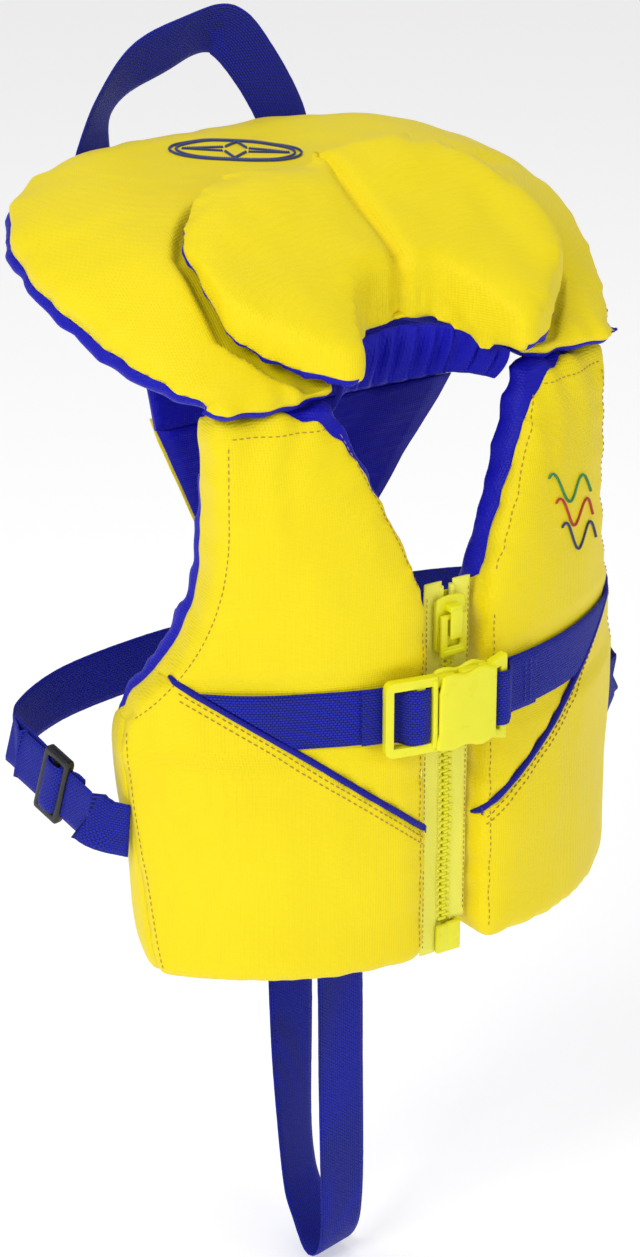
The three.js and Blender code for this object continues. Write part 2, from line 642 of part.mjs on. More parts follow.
const backBeltY = backY(backBeltZ) + 1 + GAP + webbing.thick / 2;
const backStations = steps(4).map((t) => (
  { p: at(lerp(-backBeltHalf, backBeltHalf, t), backBeltY, backBeltZ), n: at(0, 1, 0) }));
add('back_belt', strap(backStations, upright), materials.web);

// Side straps run from the side seam, through the slider, to the back belt.
for (const [name, sign] of [['right', -1], ['left', 1]]) {
  const put = (x, y, z) => at(sign * x, y, z);
  const seamX = outerEdge(straps.seamZ);
  const seamY = SPINE_Y - Math.sqrt(front.radius ** 2 - seamX ** 2);
  const start = put(seamX + 2.2, seamY + 1, straps.seamZ);
  const straight = [put(140, -13, straps.seamZ + 5), put(straps.sideX, 32, straps.sliderZ + 5)];
  const stations = along([
    start, put(seamX + 7.5, seamY + 7, straps.seamZ + 1), straight[0],
    straight[0].clone().lerp(straight[1], 0.06), straight[0].clone().lerp(straight[1], 0.94),
    straight[1], put(141, 47, -162), put(112, 58, -156), put(66, 58, -150),
    put(backBeltHalf + 5, backBeltY, backBeltZ), put(backBeltHalf + GAP, backBeltY, backBeltZ),
  ], upright, 30);
  add(`${name}_side_strap`, strap(stations, upright), materials.web);

  const mid = straight[0].clone().lerp(straight[1], 0.5);
  const dir = straight[1].clone().sub(straight[0]).normalize();
  const group = new THREE.Group();
  const yAxis = dir;
  const xAxis = at().crossVectors(yAxis, upright).normalize();
  const zAxis = at().crossVectors(xAxis, yAxis);
  group.applyMatrix4(new THREE.Matrix4().makeBasis(xAxis, yAxis, zAxis).setPosition(mid));
  model.add(group);
  const [h, t, l] = [glide.high / 2, glide.thick / 2, glide.wide / 2];
  const slot = (y0, y1) => box(-t - 1, t + 1, y0, y1, -webbing.width / 2 - 0.6,
    webbing.width / 2 + 0.6);
  const passage = box(-webbing.thick / 2 - GAP, webbing.thick / 2 + GAP, -l - 1, l + 1,
    -webbing.width / 2 - 0.6, webbing.width / 2 + 0.6);
  add(`${name}_tri_glide`, box(-t, t, -l, l, -h, h)
    .subtract(slot(-l + glide.bar, -glide.bar / 2)).subtract(slot(glide.bar / 2, l - glide.bar))
    .subtract(passage), materials.black, group);
}

// The crotch strap is one length of webbing sewn to the tip at both ends.
const crotchTop = back.tipZ - 0.85;
const crotchY = backY(back.tipZ) + 1.6;
add('crotch_strap', strap(along([
  at(0, crotchY - 0.8, crotchTop), at(0, crotchY - 1.6, crotchTop - 5), at(0, 38, -190), at(0, 16, -232), at(0, crotch.frontY + 2, -290),
  at(0, crotch.frontY, -360), at(0, crotch.frontY - 1, -430), at(0, 8, crotch.bottomZ + 6),
  at(0, 18, crotch.bottomZ + 1), at(0, 30, crotch.bottomZ + 12), at(0, 41, -428),
  at(0, crotch.backY, -385), at(0, crotch.backY + 3, -300), at(0, crotchY + 1, crotchTop - 6),
  at(0, crotchY + 0.8, crotchTop),
], at(1, 0, 0), 44), at(1, 0, 0)), materials.web);

export default model;
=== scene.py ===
"""The looks of a child's foam life jacket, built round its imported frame.

Sizes are in millimetres and turned into metres where a mesh is made. +Z is up,
the wearer faces -Y and the wearer's right is -X.
"""
import math
from contextlib import contextmanager

import bmesh
import bpy
import numpy as np
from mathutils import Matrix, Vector, noise
from mathutils.bvhtree import BVHTree


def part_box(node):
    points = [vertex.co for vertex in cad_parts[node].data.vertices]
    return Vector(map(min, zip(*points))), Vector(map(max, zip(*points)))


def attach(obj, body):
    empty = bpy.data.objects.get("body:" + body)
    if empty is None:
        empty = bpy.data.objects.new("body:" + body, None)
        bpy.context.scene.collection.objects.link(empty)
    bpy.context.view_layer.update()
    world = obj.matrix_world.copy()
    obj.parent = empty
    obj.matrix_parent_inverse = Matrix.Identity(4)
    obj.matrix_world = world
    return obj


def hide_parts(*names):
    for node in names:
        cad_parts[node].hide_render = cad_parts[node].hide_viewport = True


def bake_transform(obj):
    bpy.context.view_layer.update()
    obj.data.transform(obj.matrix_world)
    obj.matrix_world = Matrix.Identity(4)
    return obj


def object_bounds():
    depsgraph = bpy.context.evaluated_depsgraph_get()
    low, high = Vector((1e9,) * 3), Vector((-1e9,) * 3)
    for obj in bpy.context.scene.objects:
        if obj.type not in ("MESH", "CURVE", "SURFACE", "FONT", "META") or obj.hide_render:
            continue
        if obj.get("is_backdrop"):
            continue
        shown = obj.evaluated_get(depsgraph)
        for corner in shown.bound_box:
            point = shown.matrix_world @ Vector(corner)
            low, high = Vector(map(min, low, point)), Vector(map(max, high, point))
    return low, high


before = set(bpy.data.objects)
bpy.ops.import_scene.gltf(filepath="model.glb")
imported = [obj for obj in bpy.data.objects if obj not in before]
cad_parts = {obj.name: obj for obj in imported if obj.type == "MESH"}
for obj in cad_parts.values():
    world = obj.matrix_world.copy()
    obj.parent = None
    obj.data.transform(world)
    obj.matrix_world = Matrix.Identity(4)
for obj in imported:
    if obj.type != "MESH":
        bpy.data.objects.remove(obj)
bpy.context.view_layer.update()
MM = 0.001

# ------------------------------------------------------------------ dimensions
SPINE_Y = 71           # upright axis that the front halves wrap round
RADIUS = 159           # outer face of the front halves
LINING_SEAM = 11       # how far behind the face the covers meet the lining
PANEL_THICK = 28
FABRIC = 1.2
SHOULDER_Z = -0.5
HEM_Z = -257
ARMPIT_X, ARMPIT_Z = 131, -137
GUSSET_TOP = ARMPIT_Z - 1.5
HEM_X = 121
SHOULDER_X, ARMHOLE_TOP = 100, -40
NECK_X, V_POINT, CENTRE_X = 52, -85, 12.5
PIPING_OUTER, PIPING_INNER, PIPING_X = -113, -193, 14
WEB_WIDE, WEB_THICK = 25, 1.3
BELT_Z = -131.5
ZIP_Y = -76
TILT = math.radians(18.5)
COLLAR_Y, COLLAR_Z = -60, 2
COLLAR_HALF, COLLAR_LONG = 134, 195
FLAP_FROM = 120        # how far back the head flap's foam starts
SIDES = (("right", -1), ("left", 1))


# ---------------------------------------------------------------------- camera
def place_camera():
    """The viewing angle and distance that the jacket is shown from."""
    azimuth, elevation, distance = math.radians(-33), math.radians(22.4), 1.5
    target = Vector((0, 0.022, -0.138))
    level = math.cos(elevation)
    back = Vector((math.sin(azimuth) * level, -math.cos(azimuth) * level, math.sin(elevation)))
    data = bpy.data.cameras.new("camera")
    data.sensor_width = 36
    data.lens = 95.4
    camera = bpy.data.objects.new("camera", data)
    camera.location = target + back * distance
    camera.rotation_euler = (-back).to_track_quat("-Z", "Y").to_euler()
    bpy.context.scene.collection.objects.link(camera)
    bpy.context.scene.camera = camera


# ------------------------------------------------------------------- materials
def new_material(name, color, roughness, **inputs):
    material = bpy.data.materials.new(name)
    material.use_nodes = True
    shader = material.node_tree.nodes["Principled BSDF"]
    shader.inputs["Base Color"].default_value = (*color, 1)
    shader.inputs["Roughness"].default_value = roughness
    for key, value in inputs.items():
        shader.inputs[key.replace("_", " ")].default_value = value
    return material, material.node_tree, shader


def node_of(tree, kind, links=None, **values):
    """A shader node with its input values set and its inputs linked."""
    node = tree.nodes.new(kind)
    for key, value in values.items():
        if key in node.inputs:
            node.inputs[key].default_value = value
        else:
            setattr(node, key, value)
    for key, socket in (links or {}).items():
        tree.links.new(socket, node.inputs[key])
    return node


def math_node(tree, operation, *values):
    """The result of a Math node on numbers and sockets."""
    node = tree.nodes.new("ShaderNodeMath")
    node.operation = operation
    for socket, value in zip(node.inputs, values):
        if isinstance(value, (int, float)):
            socket.default_value = value
        else:
            tree.links.new(value, socket)
    return node.outputs[0]


def noise_node(tree, place, scale, detail, **values):
    """Soft noise from 0 to 1."""
    node = node_of(tree, "ShaderNodeTexNoise", {"Vector": place}, Scale=scale, Detail=detail,
                   **values)
    return node.outputs["Fac"]


COLOR_A, COLOR_B, COLOR_OUT = 6, 7, 2     # a Mix node's colour sockets


def tint(tree, shader, factor, low, high):
    """Colours the surface from low to high as the factor rises."""
    node = tree.nodes.new("ShaderNodeMix")
    node.data_type = "RGBA"
    tree.links.new(factor, node.inputs["Factor"])
    node.inputs[COLOR_A].default_value = (*low, 1)
    node.inputs[COLOR_B].default_value = (*high, 1)
    tree.links.new(node.outputs[COLOR_OUT], shader.inputs["Base Color"])


def add_bump(tree, shader, height, strength, distance):
    bump = node_of(tree, "ShaderNodeBump", {"Height": height}, Strength=strength, Distance=distance)
    tree.links.new(bump.outputs[0], shader.inputs["Normal"])


def packcloth(name, low, high, sheen):
    """Coated nylon: a fine square weave, faint rubbed patches and soft crumples."""
    material, tree, shader = new_material(name, high, 0.55, Sheen_Weight=sheen,
                                          Sheen_Roughness=0.4, Specular_IOR_Level=0.22)
    place = node_of(tree, "ShaderNodeTexCoord").outputs["Object"]
    axes = node_of(tree, "ShaderNodeSeparateXYZ", {"Vector": place})
    thread_pitch = 0.0011
    waves = [math_node(tree, "SINE", math_node(tree, "MULTIPLY", axis, 2 * math.pi / thread_pitch))
             for axis in axes.outputs]
    weave = math_node(tree, "ADD", math_node(tree, "ADD", waves[0], waves[1]), waves[2])
    crumple = noise_node(tree, place, 70.0, 5.0, Roughness=0.55)
    patches = noise_node(tree, place, 16.0, 3.0)
    tint(tree, shader, patches, low, high)
    rough = math_node(tree, "MULTIPLY_ADD", patches, 0.18, 0.42)
    tree.links.new(rough, shader.inputs["Roughness"])
    add_bump(tree, shader, math_node(tree, "MULTIPLY_ADD", weave, 0.05, crumple), 0.5, 0.0016)
    return material


def thread_rows(tree, place, gap, long, tall):
    """Offset rows of rounded thread floats: 1 on the thread and 0 in the gaps."""
    rows = node_of(tree, "ShaderNodeTexBrick", {"Vector": place}, Scale=1.0, offset=0.5,
                   **{"Mortar Size": gap, "Mortar Smooth": 1.0, "Brick Width": long,
                      "Row Height": tall})
    return math_node(tree, "SUBTRACT", 1.0, rows.outputs["Fac"])


def webbing_cloth(name, low, high):
    """Ribbed webbing, its floats laid out in the strap's own millimetres, with painted shade in the
    gaps between them and a painted highlight on their tops.
    """
    material, tree, shader = new_material(name, high, 0.6, Sheen_Weight=0.04, Sheen_Roughness=0.3,
                                          Specular_IOR_Level=0.22)
    place = node_of(tree, "ShaderNodeTexCoord").outputs["UV"]
    raised = thread_rows(tree, place, 0.22, 1.7, 1.15)
    fuzz = noise_node(tree, place, 2.2, 3.0)
    # Painted light: the gaps between the floats take the dark colour as painted shade, the floats
    # take the bright one as a painted highlight, and the noise adds a random uneven tone.
    tint(tree, shader, math_node(tree, "MULTIPLY", raised, fuzz), low, high)
    add_bump(tree, shader, raised, 1.0, 0.0006)
    return material


def knit_tape(name, low, high):
    """The zip's knitted tape: rows of small loops on its upright face, with painted shade in the
    gaps between them.
    """
    material, tree, shader = new_material(name, high, 0.7, Sheen_Weight=0.2)
    place = node_of(tree, "ShaderNodeTexCoord").outputs["Object"]
    turned = node_of(tree, "ShaderNodeMapping", {"Vector": place}, Rotation=(math.pi / 2, 0, 0),
                     Scale=(1000, 1000, 1000))
    raised = thread_rows(tree, turned.outputs[0], 0.18, 0.95, 0.75)
    # Painted shade: the gaps between the loops take the darker colour.
    tint(tree, shader, raised, low, high)
    add_bump(tree, shader, raised, 0.4, 0.0004)
    return material


def moulded(name, low, high, roughness):
    """Injection-moulded acetal: a faint orange peel, scuffs and a slightly uneven tint."""
    material, tree, shader = new_material(name, high, roughness, Subsurface_Weight=0.12,
                                          Subsurface_Scale=0.002, Specular_IOR_Level=0.45)
    place = node_of(tree, "ShaderNodeTexCoord").outputs["Object"]
    peel = noise_node(tree, place, 900.0, 2.0)
    patches = noise_node(tree, place, 120.0, 3.0)
    tint(tree, shader, patches, low, high)
    scuff = math_node(tree, "MULTIPLY_ADD", patches, 0.2, roughness - 0.1)
    tree.links.new(scuff, shader.inputs["Roughness"])
    add_bump(tree, shader, peel, 0.12, 0.0003)
    return material


def thread(name, color):
    """Twisted sewing thread, with painted shade between its strands."""
    material, tree, shader = new_material(name, color, 0.5, Sheen_Weight=0.3)
    place = node_of(tree, "ShaderNodeTexCoord").outputs["Object"]
    twist = noise_node(tree, place, 2500.0, 1.0)
    # Painted shade: noise darkens the thread to six tenths of its colour between its strands.
    tint(tree, shader, twist, tuple(0.6 * c for c in color), color)
    add_bump(tree, shader, twist, 0.4, 0.0002)
    return material


YELLOW = packcloth("yellow_nylon", (0.84, 0.66, 0.002), (0.93, 0.76, 0.004), 0.06)
BLUE = packcloth("blue_nylon", (0.003, 0.002, 0.30), (0.006, 0.005, 0.52), 0.03)
# The webbing's dark colour is painted shade for the gaps between its floats, and its bright colour
# is a painted highlight on them.
WEB = webbing_cloth("blue_webbing", (0.001, 0.001, 0.07), (0.018, 0.035, 0.80))
CORD = packcloth("blue_piping", (0.003, 0.002, 0.18), (0.006, 0.006, 0.40), 0.03)
# The tape's darker colour is painted shade for the gaps between its loops.
TAPE = knit_tape("knit_tape", (0.86, 0.82, 0.04), (1.0, 0.98, 0.14))
LEMON = moulded("lemon_acetal", (0.80, 0.76, 0.008), (0.88, 0.85, 0.02), 0.3)
BLACK = moulded("black_acetal", (0.006, 0.006, 0.006), (0.014, 0.014, 0.014), 0.3)
GOLD_THREAD = thread("gold_thread", (0.50, 0.27, 0.006))
BLUE_THREAD = thread("blue_thread", (0.02, 0.03, 0.42))
INK_THREAD = thread("navy_thread", (0.012, 0.03, 0.22))
RED_THREAD = thread("red_thread", (0.62, 0.03, 0.02))
GREEN_THREAD = thread("green_thread", (0.02, 0.30, 0.10))


# --------------------------------------------------------------- mesh helpers
def coords(obj):
    """The mesh's points in millimetres."""
    flat = np.zeros(len(obj.data.vertices) * 3)
    obj.data.vertices.foreach_get("co", flat)
    return flat.reshape(-1, 3) / MM


def set_coords(obj, points):
    obj.data.vertices.foreach_set("co", (np.asarray(points) * MM).ravel())
    obj.data.update()


def normals(obj):
    flat = np.zeros(len(obj.data.vertices) * 3)
    obj.data.vertex_normals.foreach_get("vector", flat)
    return flat.reshape(-1, 3)


def new_object(name, mesh, material):
    obj = bpy.data.objects.new(name, mesh)
    bpy.context.scene.collection.objects.link(obj)
    obj.data.materials.clear()
    obj.data.materials.append(material)
    return obj


def mesh_object(name, points, faces, material):
    """A smooth-shaded object from points in millimetres."""
    mesh = bpy.data.meshes.new(name)
    mesh.from_pydata([tuple(MM * c for c in p) for p in points], [], faces)
    mesh.shade_smooth()
    return new_object(name, mesh, material)


@contextmanager
def opened(obj):
    """The object's mesh as a bmesh, which is written back at the end."""
    shape = bmesh.new()
    shape.from_mesh(obj.data)
    yield shape
    shape.to_mesh(obj.data)
    shape.free()
    obj.data.update()


def face_outwards(obj):
    """Turns every face of a closed shape outwards."""
    with opened(obj) as shape:
        bmesh.ops.recalc_face_normals(shape, faces=shape.faces)


def copy_of(name, nodes, material):
    """One object from copies of the frame's nodes, with their loose triangles joined."""
    shape = bmesh.new()
    for node in nodes:
        shape.from_mesh(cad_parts[node].data)
    bmesh.ops.remove_doubles(shape, verts=shape.verts, dist=1e-6)
    mesh = bpy.data.meshes.new(name)
    shape.to_mesh(mesh)
    shape.free()
    return new_object(name, mesh, material)


def select_only(obj):
    bpy.ops.object.select_all(action="DESELECT")
    obj.select_set(True)
    bpy.context.view_layer.objects.active = obj


def apply_modifier(obj, kind, **values):
    modifier = obj.modifiers.new(kind.lower(), kind)
    for key, value in values.items():
        setattr(modifier, key, value)
    select_only(obj)
    bpy.ops.object.modifier_apply(modifier=modifier.name)


def subdivide(obj):
    apply_modifier(obj, "SUBSURF", levels=1, render_levels=1)


def ripple(points, size, seed):
    """Smooth noise from -1 to 1 at each point; size is its grain in millimetres."""
    shift = Vector((seed * 17.3, seed * 5.1, seed * 9.7))
    return np.array([noise.noise(Vector(p) / size + shift) for p in points])


def ramp(value, start, end):
    """0 at start and 1 at end, held on either side of them."""
    return np.clip((value - start) / (end - start), 0, 1)


def ease(share):
    """The same share with soft ends."""
    return share * share * (3 - 2 * share)


def finish_piece(obj, body, slot, *nodes):
    """Rides a finished piece on its body and hides the frame's nodes that it stands for."""
    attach(obj, body)
    if nodes:
        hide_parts(*nodes)
    return obj


# --------------------------------------------------------------- padded pieces
def pad_from(name, nodes, voxel, rounding, reshape):
    """A closed pad with rounded edges, from copies of the frame's foam slabs."""
    obj = copy_of(name, nodes, YELLOW)
    set_coords(obj, reshape(coords(obj)))
    round_off(obj, voxel, rounding)
    set_coords(obj, coords(obj) + FABRIC * normals(obj))
    return obj


def round_off(obj, voxel, rounding):
    """An even skin over a blocky shape, with its edges rounded."""
    apply_modifier(obj, "REMESH", mode="VOXEL", voxel_size=voxel * MM)
    apply_modifier(obj, "SMOOTH", factor=0.5, iterations=rounding)


def blow_up(obj, cap, hold=None):
    """Fills the pad by cloth simulation; no point moves further than cap."""
    before = coords(obj)
    cloth = obj.modifiers.new("cloth", "CLOTH")
    settings = cloth.settings
    settings.quality = 6
    settings.mass = 0.25
    settings.tension_stiffness = 14
    settings.compression_stiffness = 5
    settings.shear_stiffness = 4
    settings.bending_stiffness = 0.25
    settings.use_pressure = True
    settings.uniform_pressure_force = 4
    settings.effector_weights.gravity = 0
    scene = bpy.context.scene
    last_step = 20
    cloth.point_cache.frame_end = last_step
    for step in range(1, last_step + 1):
        scene.frame_set(step)
    select_only(obj)
    bpy.ops.object.modifier_apply(modifier=cloth.name)
    scene.frame_set(1)
    move = coords(obj) - before
    length = np.linalg.norm(move, axis=1, keepdims=True)
    move *= np.minimum(1, cap / np.maximum(length, 1e-9))
    if hold is not None:
        move *= hold(before)[:, None]
    set_coords(obj, before + move)


def cut_along(shape, field):
    """Splits the faces where field, a function of points in millimetres, is nought."""
    shape.verts.index_update()
    values = field(np.array([v.co for v in shape.verts]) / MM)
    on_line = set()
    for edge in list(shape.edges):
        a, b = (values[v.index] for v in edge.verts)
        if a * b < 0:
            _, vert = bmesh.utils.edge_split(edge, edge.verts[0], a / (a - b))
            on_line.add(vert)
    for face in list(shape.faces):
        ends = [v for v in face.verts if v in on_line]
        if len(ends) == 2 and not any(set(e.verts) == set(ends) for e in face.edges):
            bmesh.utils.face_split(face, *ends)
    shape.normal_update()


def split_by(obj, label, names):
    """New objects, one for each label that the function gives to the face centres."""
    shape = bmesh.new()
    shape.from_mesh(obj.data)
    labels = label(np.array([f.calc_center_median() for f in shape.faces]) / MM)
    parts = {}
    for name, material in names.items():
        part = bmesh.new()
        made = {}
        for face, kind in zip(shape.faces, labels):
            if kind != name:
                continue
            for v in face.verts:
                if v.index not in made:
                    made[v.index] = part.verts.new(v.co)
            part.faces.new([made[v.index] for v in face.verts]).smooth = True
        mesh = bpy.data.meshes.new(name)
        part.to_mesh(mesh)
        part.free()
        parts[name] = new_object(name, mesh, material)
    shape.free()
    bpy.data.objects.remove(obj)
    return parts


def make_seams(obj, fields):
    """Cuts the cover along each seam line."""
    with opened(obj) as shape:
        for field in fields:
            cut_along(shape, field)


def split_at_seam(pad, field, kind):
    """A yellow top and a blue bottom, parted where field is nought."""
    def label(centres):
        return np.where(field(centres) > 0, f"{kind}_top", f"{kind}_bottom")

    make_seams(pad, [field])
    return split_by(pad, label, {f"{kind}_top": YELLOW, f"{kind}_bottom": BLUE})


def give_thickness(obj, thick=0.8):
    """Turns a sewn skin into cloth, with its thickness inwards."""
    apply_modifier(obj, "SOLIDIFY", thickness=thick * MM, offset=-1, use_even_offset=False)


# ---------------------------------------------------------------- front halves
def on_front(points, sign):
    """Arc length from the centre, distance from the spine axis and height."""
    points = np.atleast_2d(points)
    angle = np.arctan2(sign * points[:, 0], SPINE_Y - points[:, 1])
    return RADIUS * angle, np.hypot(points[:, 0], SPINE_Y - points[:, 1]), points[:, 2]


def from_front(arc, radius, z, sign=1):
    """The point at an arc length, a distance from the spine axis and a height."""
    angle = arc / RADIUS
    return Vector((sign * radius * math.sin(angle), SPINE_Y - radius * math.cos(angle), z))


def outer_edge(z):
    """Half-width of a front half at its side, at the outer face."""
    below = ramp(z, ARMPIT_Z, HEM_Z)
    above = ramp(z, ARMHOLE_TOP, ARMPIT_Z)
    return np.where(z < ARMPIT_Z, ARMPIT_X + (HEM_X - ARMPIT_X) * below ** 1.3,
                    SHOULDER_X + (ARMPIT_X - SHOULDER_X) * above ** 2.4)


def outer_edge_at(z):
    return float(outer_edge(float(z)))


def inner_edge(z):
    """Half-width of the opening between the front halves."""
    return CENTRE_X + (NECK_X - CENTRE_X) * ramp(z, V_POINT, SHOULDER_Z) ** 1.15


def arc_of(x):
    """Arc length from the centre to a width on the outer face."""
    return RADIUS * np.arcsin(np.clip(x / RADIUS, -1, 1))


def piping_z(x):
    """Height of the slanted piping at a width."""
    share = np.clip((x - PIPING_X) / (outer_edge_at(PIPING_OUTER) - PIPING_X), 0, 2)
    return PIPING_INNER + (PIPING_OUTER - PIPING_INNER) * share ** (1 / 1.06)


def gathers(points, phase, grain, seed, waver=3):
    """Small folds side by side, from -1 to 1, whose lines waver."""
    return np.sin(phase + waver * ripple(points, grain, seed))


def dip(distance, depth, width):
    """How far cloth is drawn in near a seam."""
    return depth * np.exp(-(distance / width) ** 2)


def front_half(side, sign):
    """One padded chest half: two front panels, a side wall and a blue lining."""
    def taller(points):
        """The shoulder end runs on into the collar's front edge."""
        points[:, 2] += 4 * (points[:, 2] > SHOULDER_Z - 4)
        return points

    pad = pad_from(f"{side}_pad", [f"{side}_foam"], 4, 5, taller)
    blow_up(pad, 2.5)
    subdivide(pad)

    def lining_line(points):
        """Above nought where the yellow cover is: it wraps further back beside the zip and
        round the armhole than along the neckline."""
        arc, radius, z = on_front(points, sign)
        armhole = ramp(arc, 70, 100)
        beside_zip = ramp(z, V_POINT + 2, V_POINT - 6) * ramp(arc, 50, 30)
        return radius - RADIUS + LINING_SEAM + 5 * armhole + (PANEL_THICK - 14) * beside_zip

    def rear_line(points):
        return on_front(points, sign)[1] - (RADIUS - PANEL_THICK + 4)

    def side_line(points):
        arc, _, z = on_front(points, sign)
        return arc - (arc_of(outer_edge(z)) - 2.5)

    def piping_line(points):
        return points[:, 2] - piping_z(sign * points[:, 0])

    def armpit_line(points):
        return points[:, 2] - GUSSET_TOP

    points = coords(pad)
    arc, radius, z = on_front(points, sign)
    front_face = 1 / (1 + np.exp(-(radius - (RADIUS - 9)) / 1.5))
    in_gusset = (side_line(points) > 0) & (z < ARMPIT_Z)
    sunk = dip(lining_line(points), 1.2, 2.2) * ~in_gusset
    sunk += dip(piping_line(points), 1.5, 3.0) * front_face
    sunk += dip(side_line(points), 1.0, 1.8) * (z < ARMPIT_Z + 4) * (radius > RADIUS - 16)
    near_armhole = np.exp(-np.abs(side_line(points)) / 14) * (z > ARMPIT_Z)
    near_shoulder = np.exp(-np.maximum(0, SHOULDER_Z - z) / 22)
    near_centre = np.exp(-np.maximum(0, arc - arc_of(inner_edge(z))) / 9)
    near_piping = np.exp(-np.abs(piping_line(points)) / 7) * front_face
    folds = gathers(points, arc / 3.1, 30, 2) * near_shoulder
    folds += gathers(points, z / 2.6, 26, 3) * (near_armhole * 0.45 + near_centre * 0.7)
    folds += gathers(points, arc / 1.9, 20, 6, 2) * near_piping * 0.5
    waves = 1.6 * ripple(points, 60, 4) + 0.5 * ripple(points, 20, 5)
    set_coords(pad, points + normals(pad) * (folds + waves - sunk)[:, None])

    press_under_belt(pad, sign)
    keep_surface(f"{side}_front", pad)
    make_seams(pad, [lining_line, rear_line, side_line, piping_line, armpit_line])

    def label(centres):
        gusset = (side_line(centres) > 0) & (centres[:, 2] < GUSSET_TOP)
        front = np.where(piping_line(centres) > 0, f"{side}_chest_panel", f"{side}_lower_panel")
        return np.where(gusset & (rear_line(centres) > 0), f"{side}_side_wall",
                        np.where(~gusset & (lining_line(centres) > 0), front,
                                 f"{side}_inside_lining"))

    parts = split_by(pad, label, {
        f"{side}_chest_panel": YELLOW, f"{side}_lower_panel": YELLOW,
        f"{side}_side_wall": YELLOW, f"{side}_inside_lining": BLUE})
    stands_for = {"chest_panel": ("cover", ["chest_cover", "foam"]),
                  "lower_panel": ("cover", ["lower_cover"]),
                  "side_wall": ("cover", ["side_gusset"]),
                  "inside_lining": ("lining", ["lining"])}
    for name, obj in parts.items():
        slot, nodes = stands_for[name.split("_", 1)[1]]
        give_thickness(obj)
        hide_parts(*[f"{side}_{node}" for node in nodes])
        if slot == "lining" or "chest" in name:
            follow_shoulder(obj)
        else:
            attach(obj, f"{side}_front")


def press_under_belt(pad, sign):
    """The taut belt presses the padding flat beneath it."""
    points = coords(pad)
    arc, radius, z = on_front(points, sign)
    proud = np.maximum(0, radius - (RADIUS + 0.15)) * (arc < arc_of(outer_edge(z)))
    near = ramp(np.abs(z - BELT_Z), 24, 14)
    share = (ease(near) * proud / radius)[:, None]
    spine = np.stack([0 * z, SPINE_Y + 0 * z, z], axis=1)
    set_coords(pad, points + (spine - points) * share)


def follow_shoulder(obj):
    """Bakes the placement of cloth near the shoulder into its mesh."""
    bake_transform(obj)


# ---------------------------------------------------------------------- collar
def on_collar(points):
    """x, distance back along the seam plane and height square to it."""
    y, z = points[:, 1] - COLLAR_Y, points[:, 2] - COLLAR_Z
    return (points[:, 0], y * math.cos(TILT) + z * math.sin(TILT),
            z * math.cos(TILT) - y * math.sin(TILT))


def follow_fold(obj):
    """Bakes the placement of cloth that lies over the fold between the collar and its head flap
    into its mesh.
    """
    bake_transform(obj)


def collar_piece():
    """The broad padded collar and its head flap, sewn as one cushion."""
    def closed_up(points):
        """Shuts the fold and runs the front edge on over the shoulder seams."""
        _, back, _ = on_collar(points)
        at_fold = (back > FLAP_FROM - 1) & (back < FLAP_FROM + 0.2)
        along = -5.0 * (at_fold | (back < 2.0))
        points[:, 1] += along * math.cos(TILT)
        points[:, 2] += along * math.sin(TILT)
        return points

    def flat_rear(points):
        """The share of the swelling that each point keeps: less towards the rear."""
        return 1 - 0.7 * ramp(on_collar(points)[1], 90, 150)

    pad = pad_from("collar_pad", ["collar_foam", "head_flap_foam"], 4.2, 6, closed_up)
    blow_up(pad, 4, flat_rear)
    subdivide(pad)

    def seam_line(points):
        return on_collar(points)[2] - 2.0

    points = coords(pad)
    x, back, high = on_collar(points)
    lower = np.maximum(high, 0) * 0.32 * ease(ramp(back, 95, 175))
    pressed = under_pillow(points) * np.maximum(0, points[:, 2] - pillow_base(points) + 2.5)
    points[:, 1] += lower * math.sin(TILT)
    points[:, 2] -= lower * math.cos(TILT) + pressed * (high > 4)
    set_coords(pad, points)
    sunk = dip(seam_line(points), 1.6, 2.4)
    neck = back - 60
    outward = np.stack([x, neck * math.cos(TILT), neck * math.sin(TILT)], axis=1)
    outward /= np.maximum(np.linalg.norm(outward, axis=1, keepdims=True), 1)
    from_widest = (back - 80) / (COLLAR_LONG - 80)
    at_rim = ramp(np.hypot(x / COLLAR_HALF, from_widest), 0.78, 0.90)
    at_rim *= ramp(back, 10, 35) * ramp(np.abs(x), 60, 85)
    piped = 3.0 * np.exp(-((high + 6) / 6) ** 2) * at_rim
    near_seam = np.exp(-np.abs(seam_line(points)) / 9)
    around = np.arctan2(x, neck) * 120
    puckers = gathers(points, around / 3.4, 30, 11) * near_seam * 0.65
    near_front = np.exp(-np.maximum(0, back) / 16)
    puckers += gathers(points, x / 2.8, 26, 12) * near_front * 0.8
    waves = 2.4 * ripple(points, 75, 13) + 0.7 * ripple(points, 24, 14)
    waves *= 1 - under_pillow(points)
    set_coords(pad, points + normals(pad) * (puckers + waves - sunk)[:, None]
               + outward * piped[:, None])
    parts = split_at_seam(pad, seam_line, "collar")
    keep_surface("collar", parts["collar_top"])
    for name, slot, nodes in (
            ("collar_top", "cover", ["collar_cover", "head_flap_cover", "collar_foam",
                                     "head_flap_foam"]),
            ("collar_bottom", "lining", ["collar_underside", "head_flap_underside"])):
        obj = parts[name]
        give_thickness(obj)
        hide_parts(*nodes)
        follow_fold(obj)


# ---------------------------------------------------------------------- pillow
PILLOW_HALF = 88
LIP_Y, CORNER_X, CORNER_Y = -39, 42, -74


def pillow_front(x):
    """The pillow's front outline: a lip drawn back between two rounded lobes."""
    x = np.abs(x)
    lip = LIP_Y + (CORNER_Y - LIP_Y) * ramp(x, 0, CORNER_X) ** 3
    side = CORNER_Y + 38 * ramp(x, CORNER_X, PILLOW_HALF) ** 1.6
    return np.where(x < CORNER_X, lip, side)


def pillow_rear(x):
    """The pillow's rear outline."""
    return 32 - 34 * ramp(np.abs(x), 0, PILLOW_HALF) ** 4


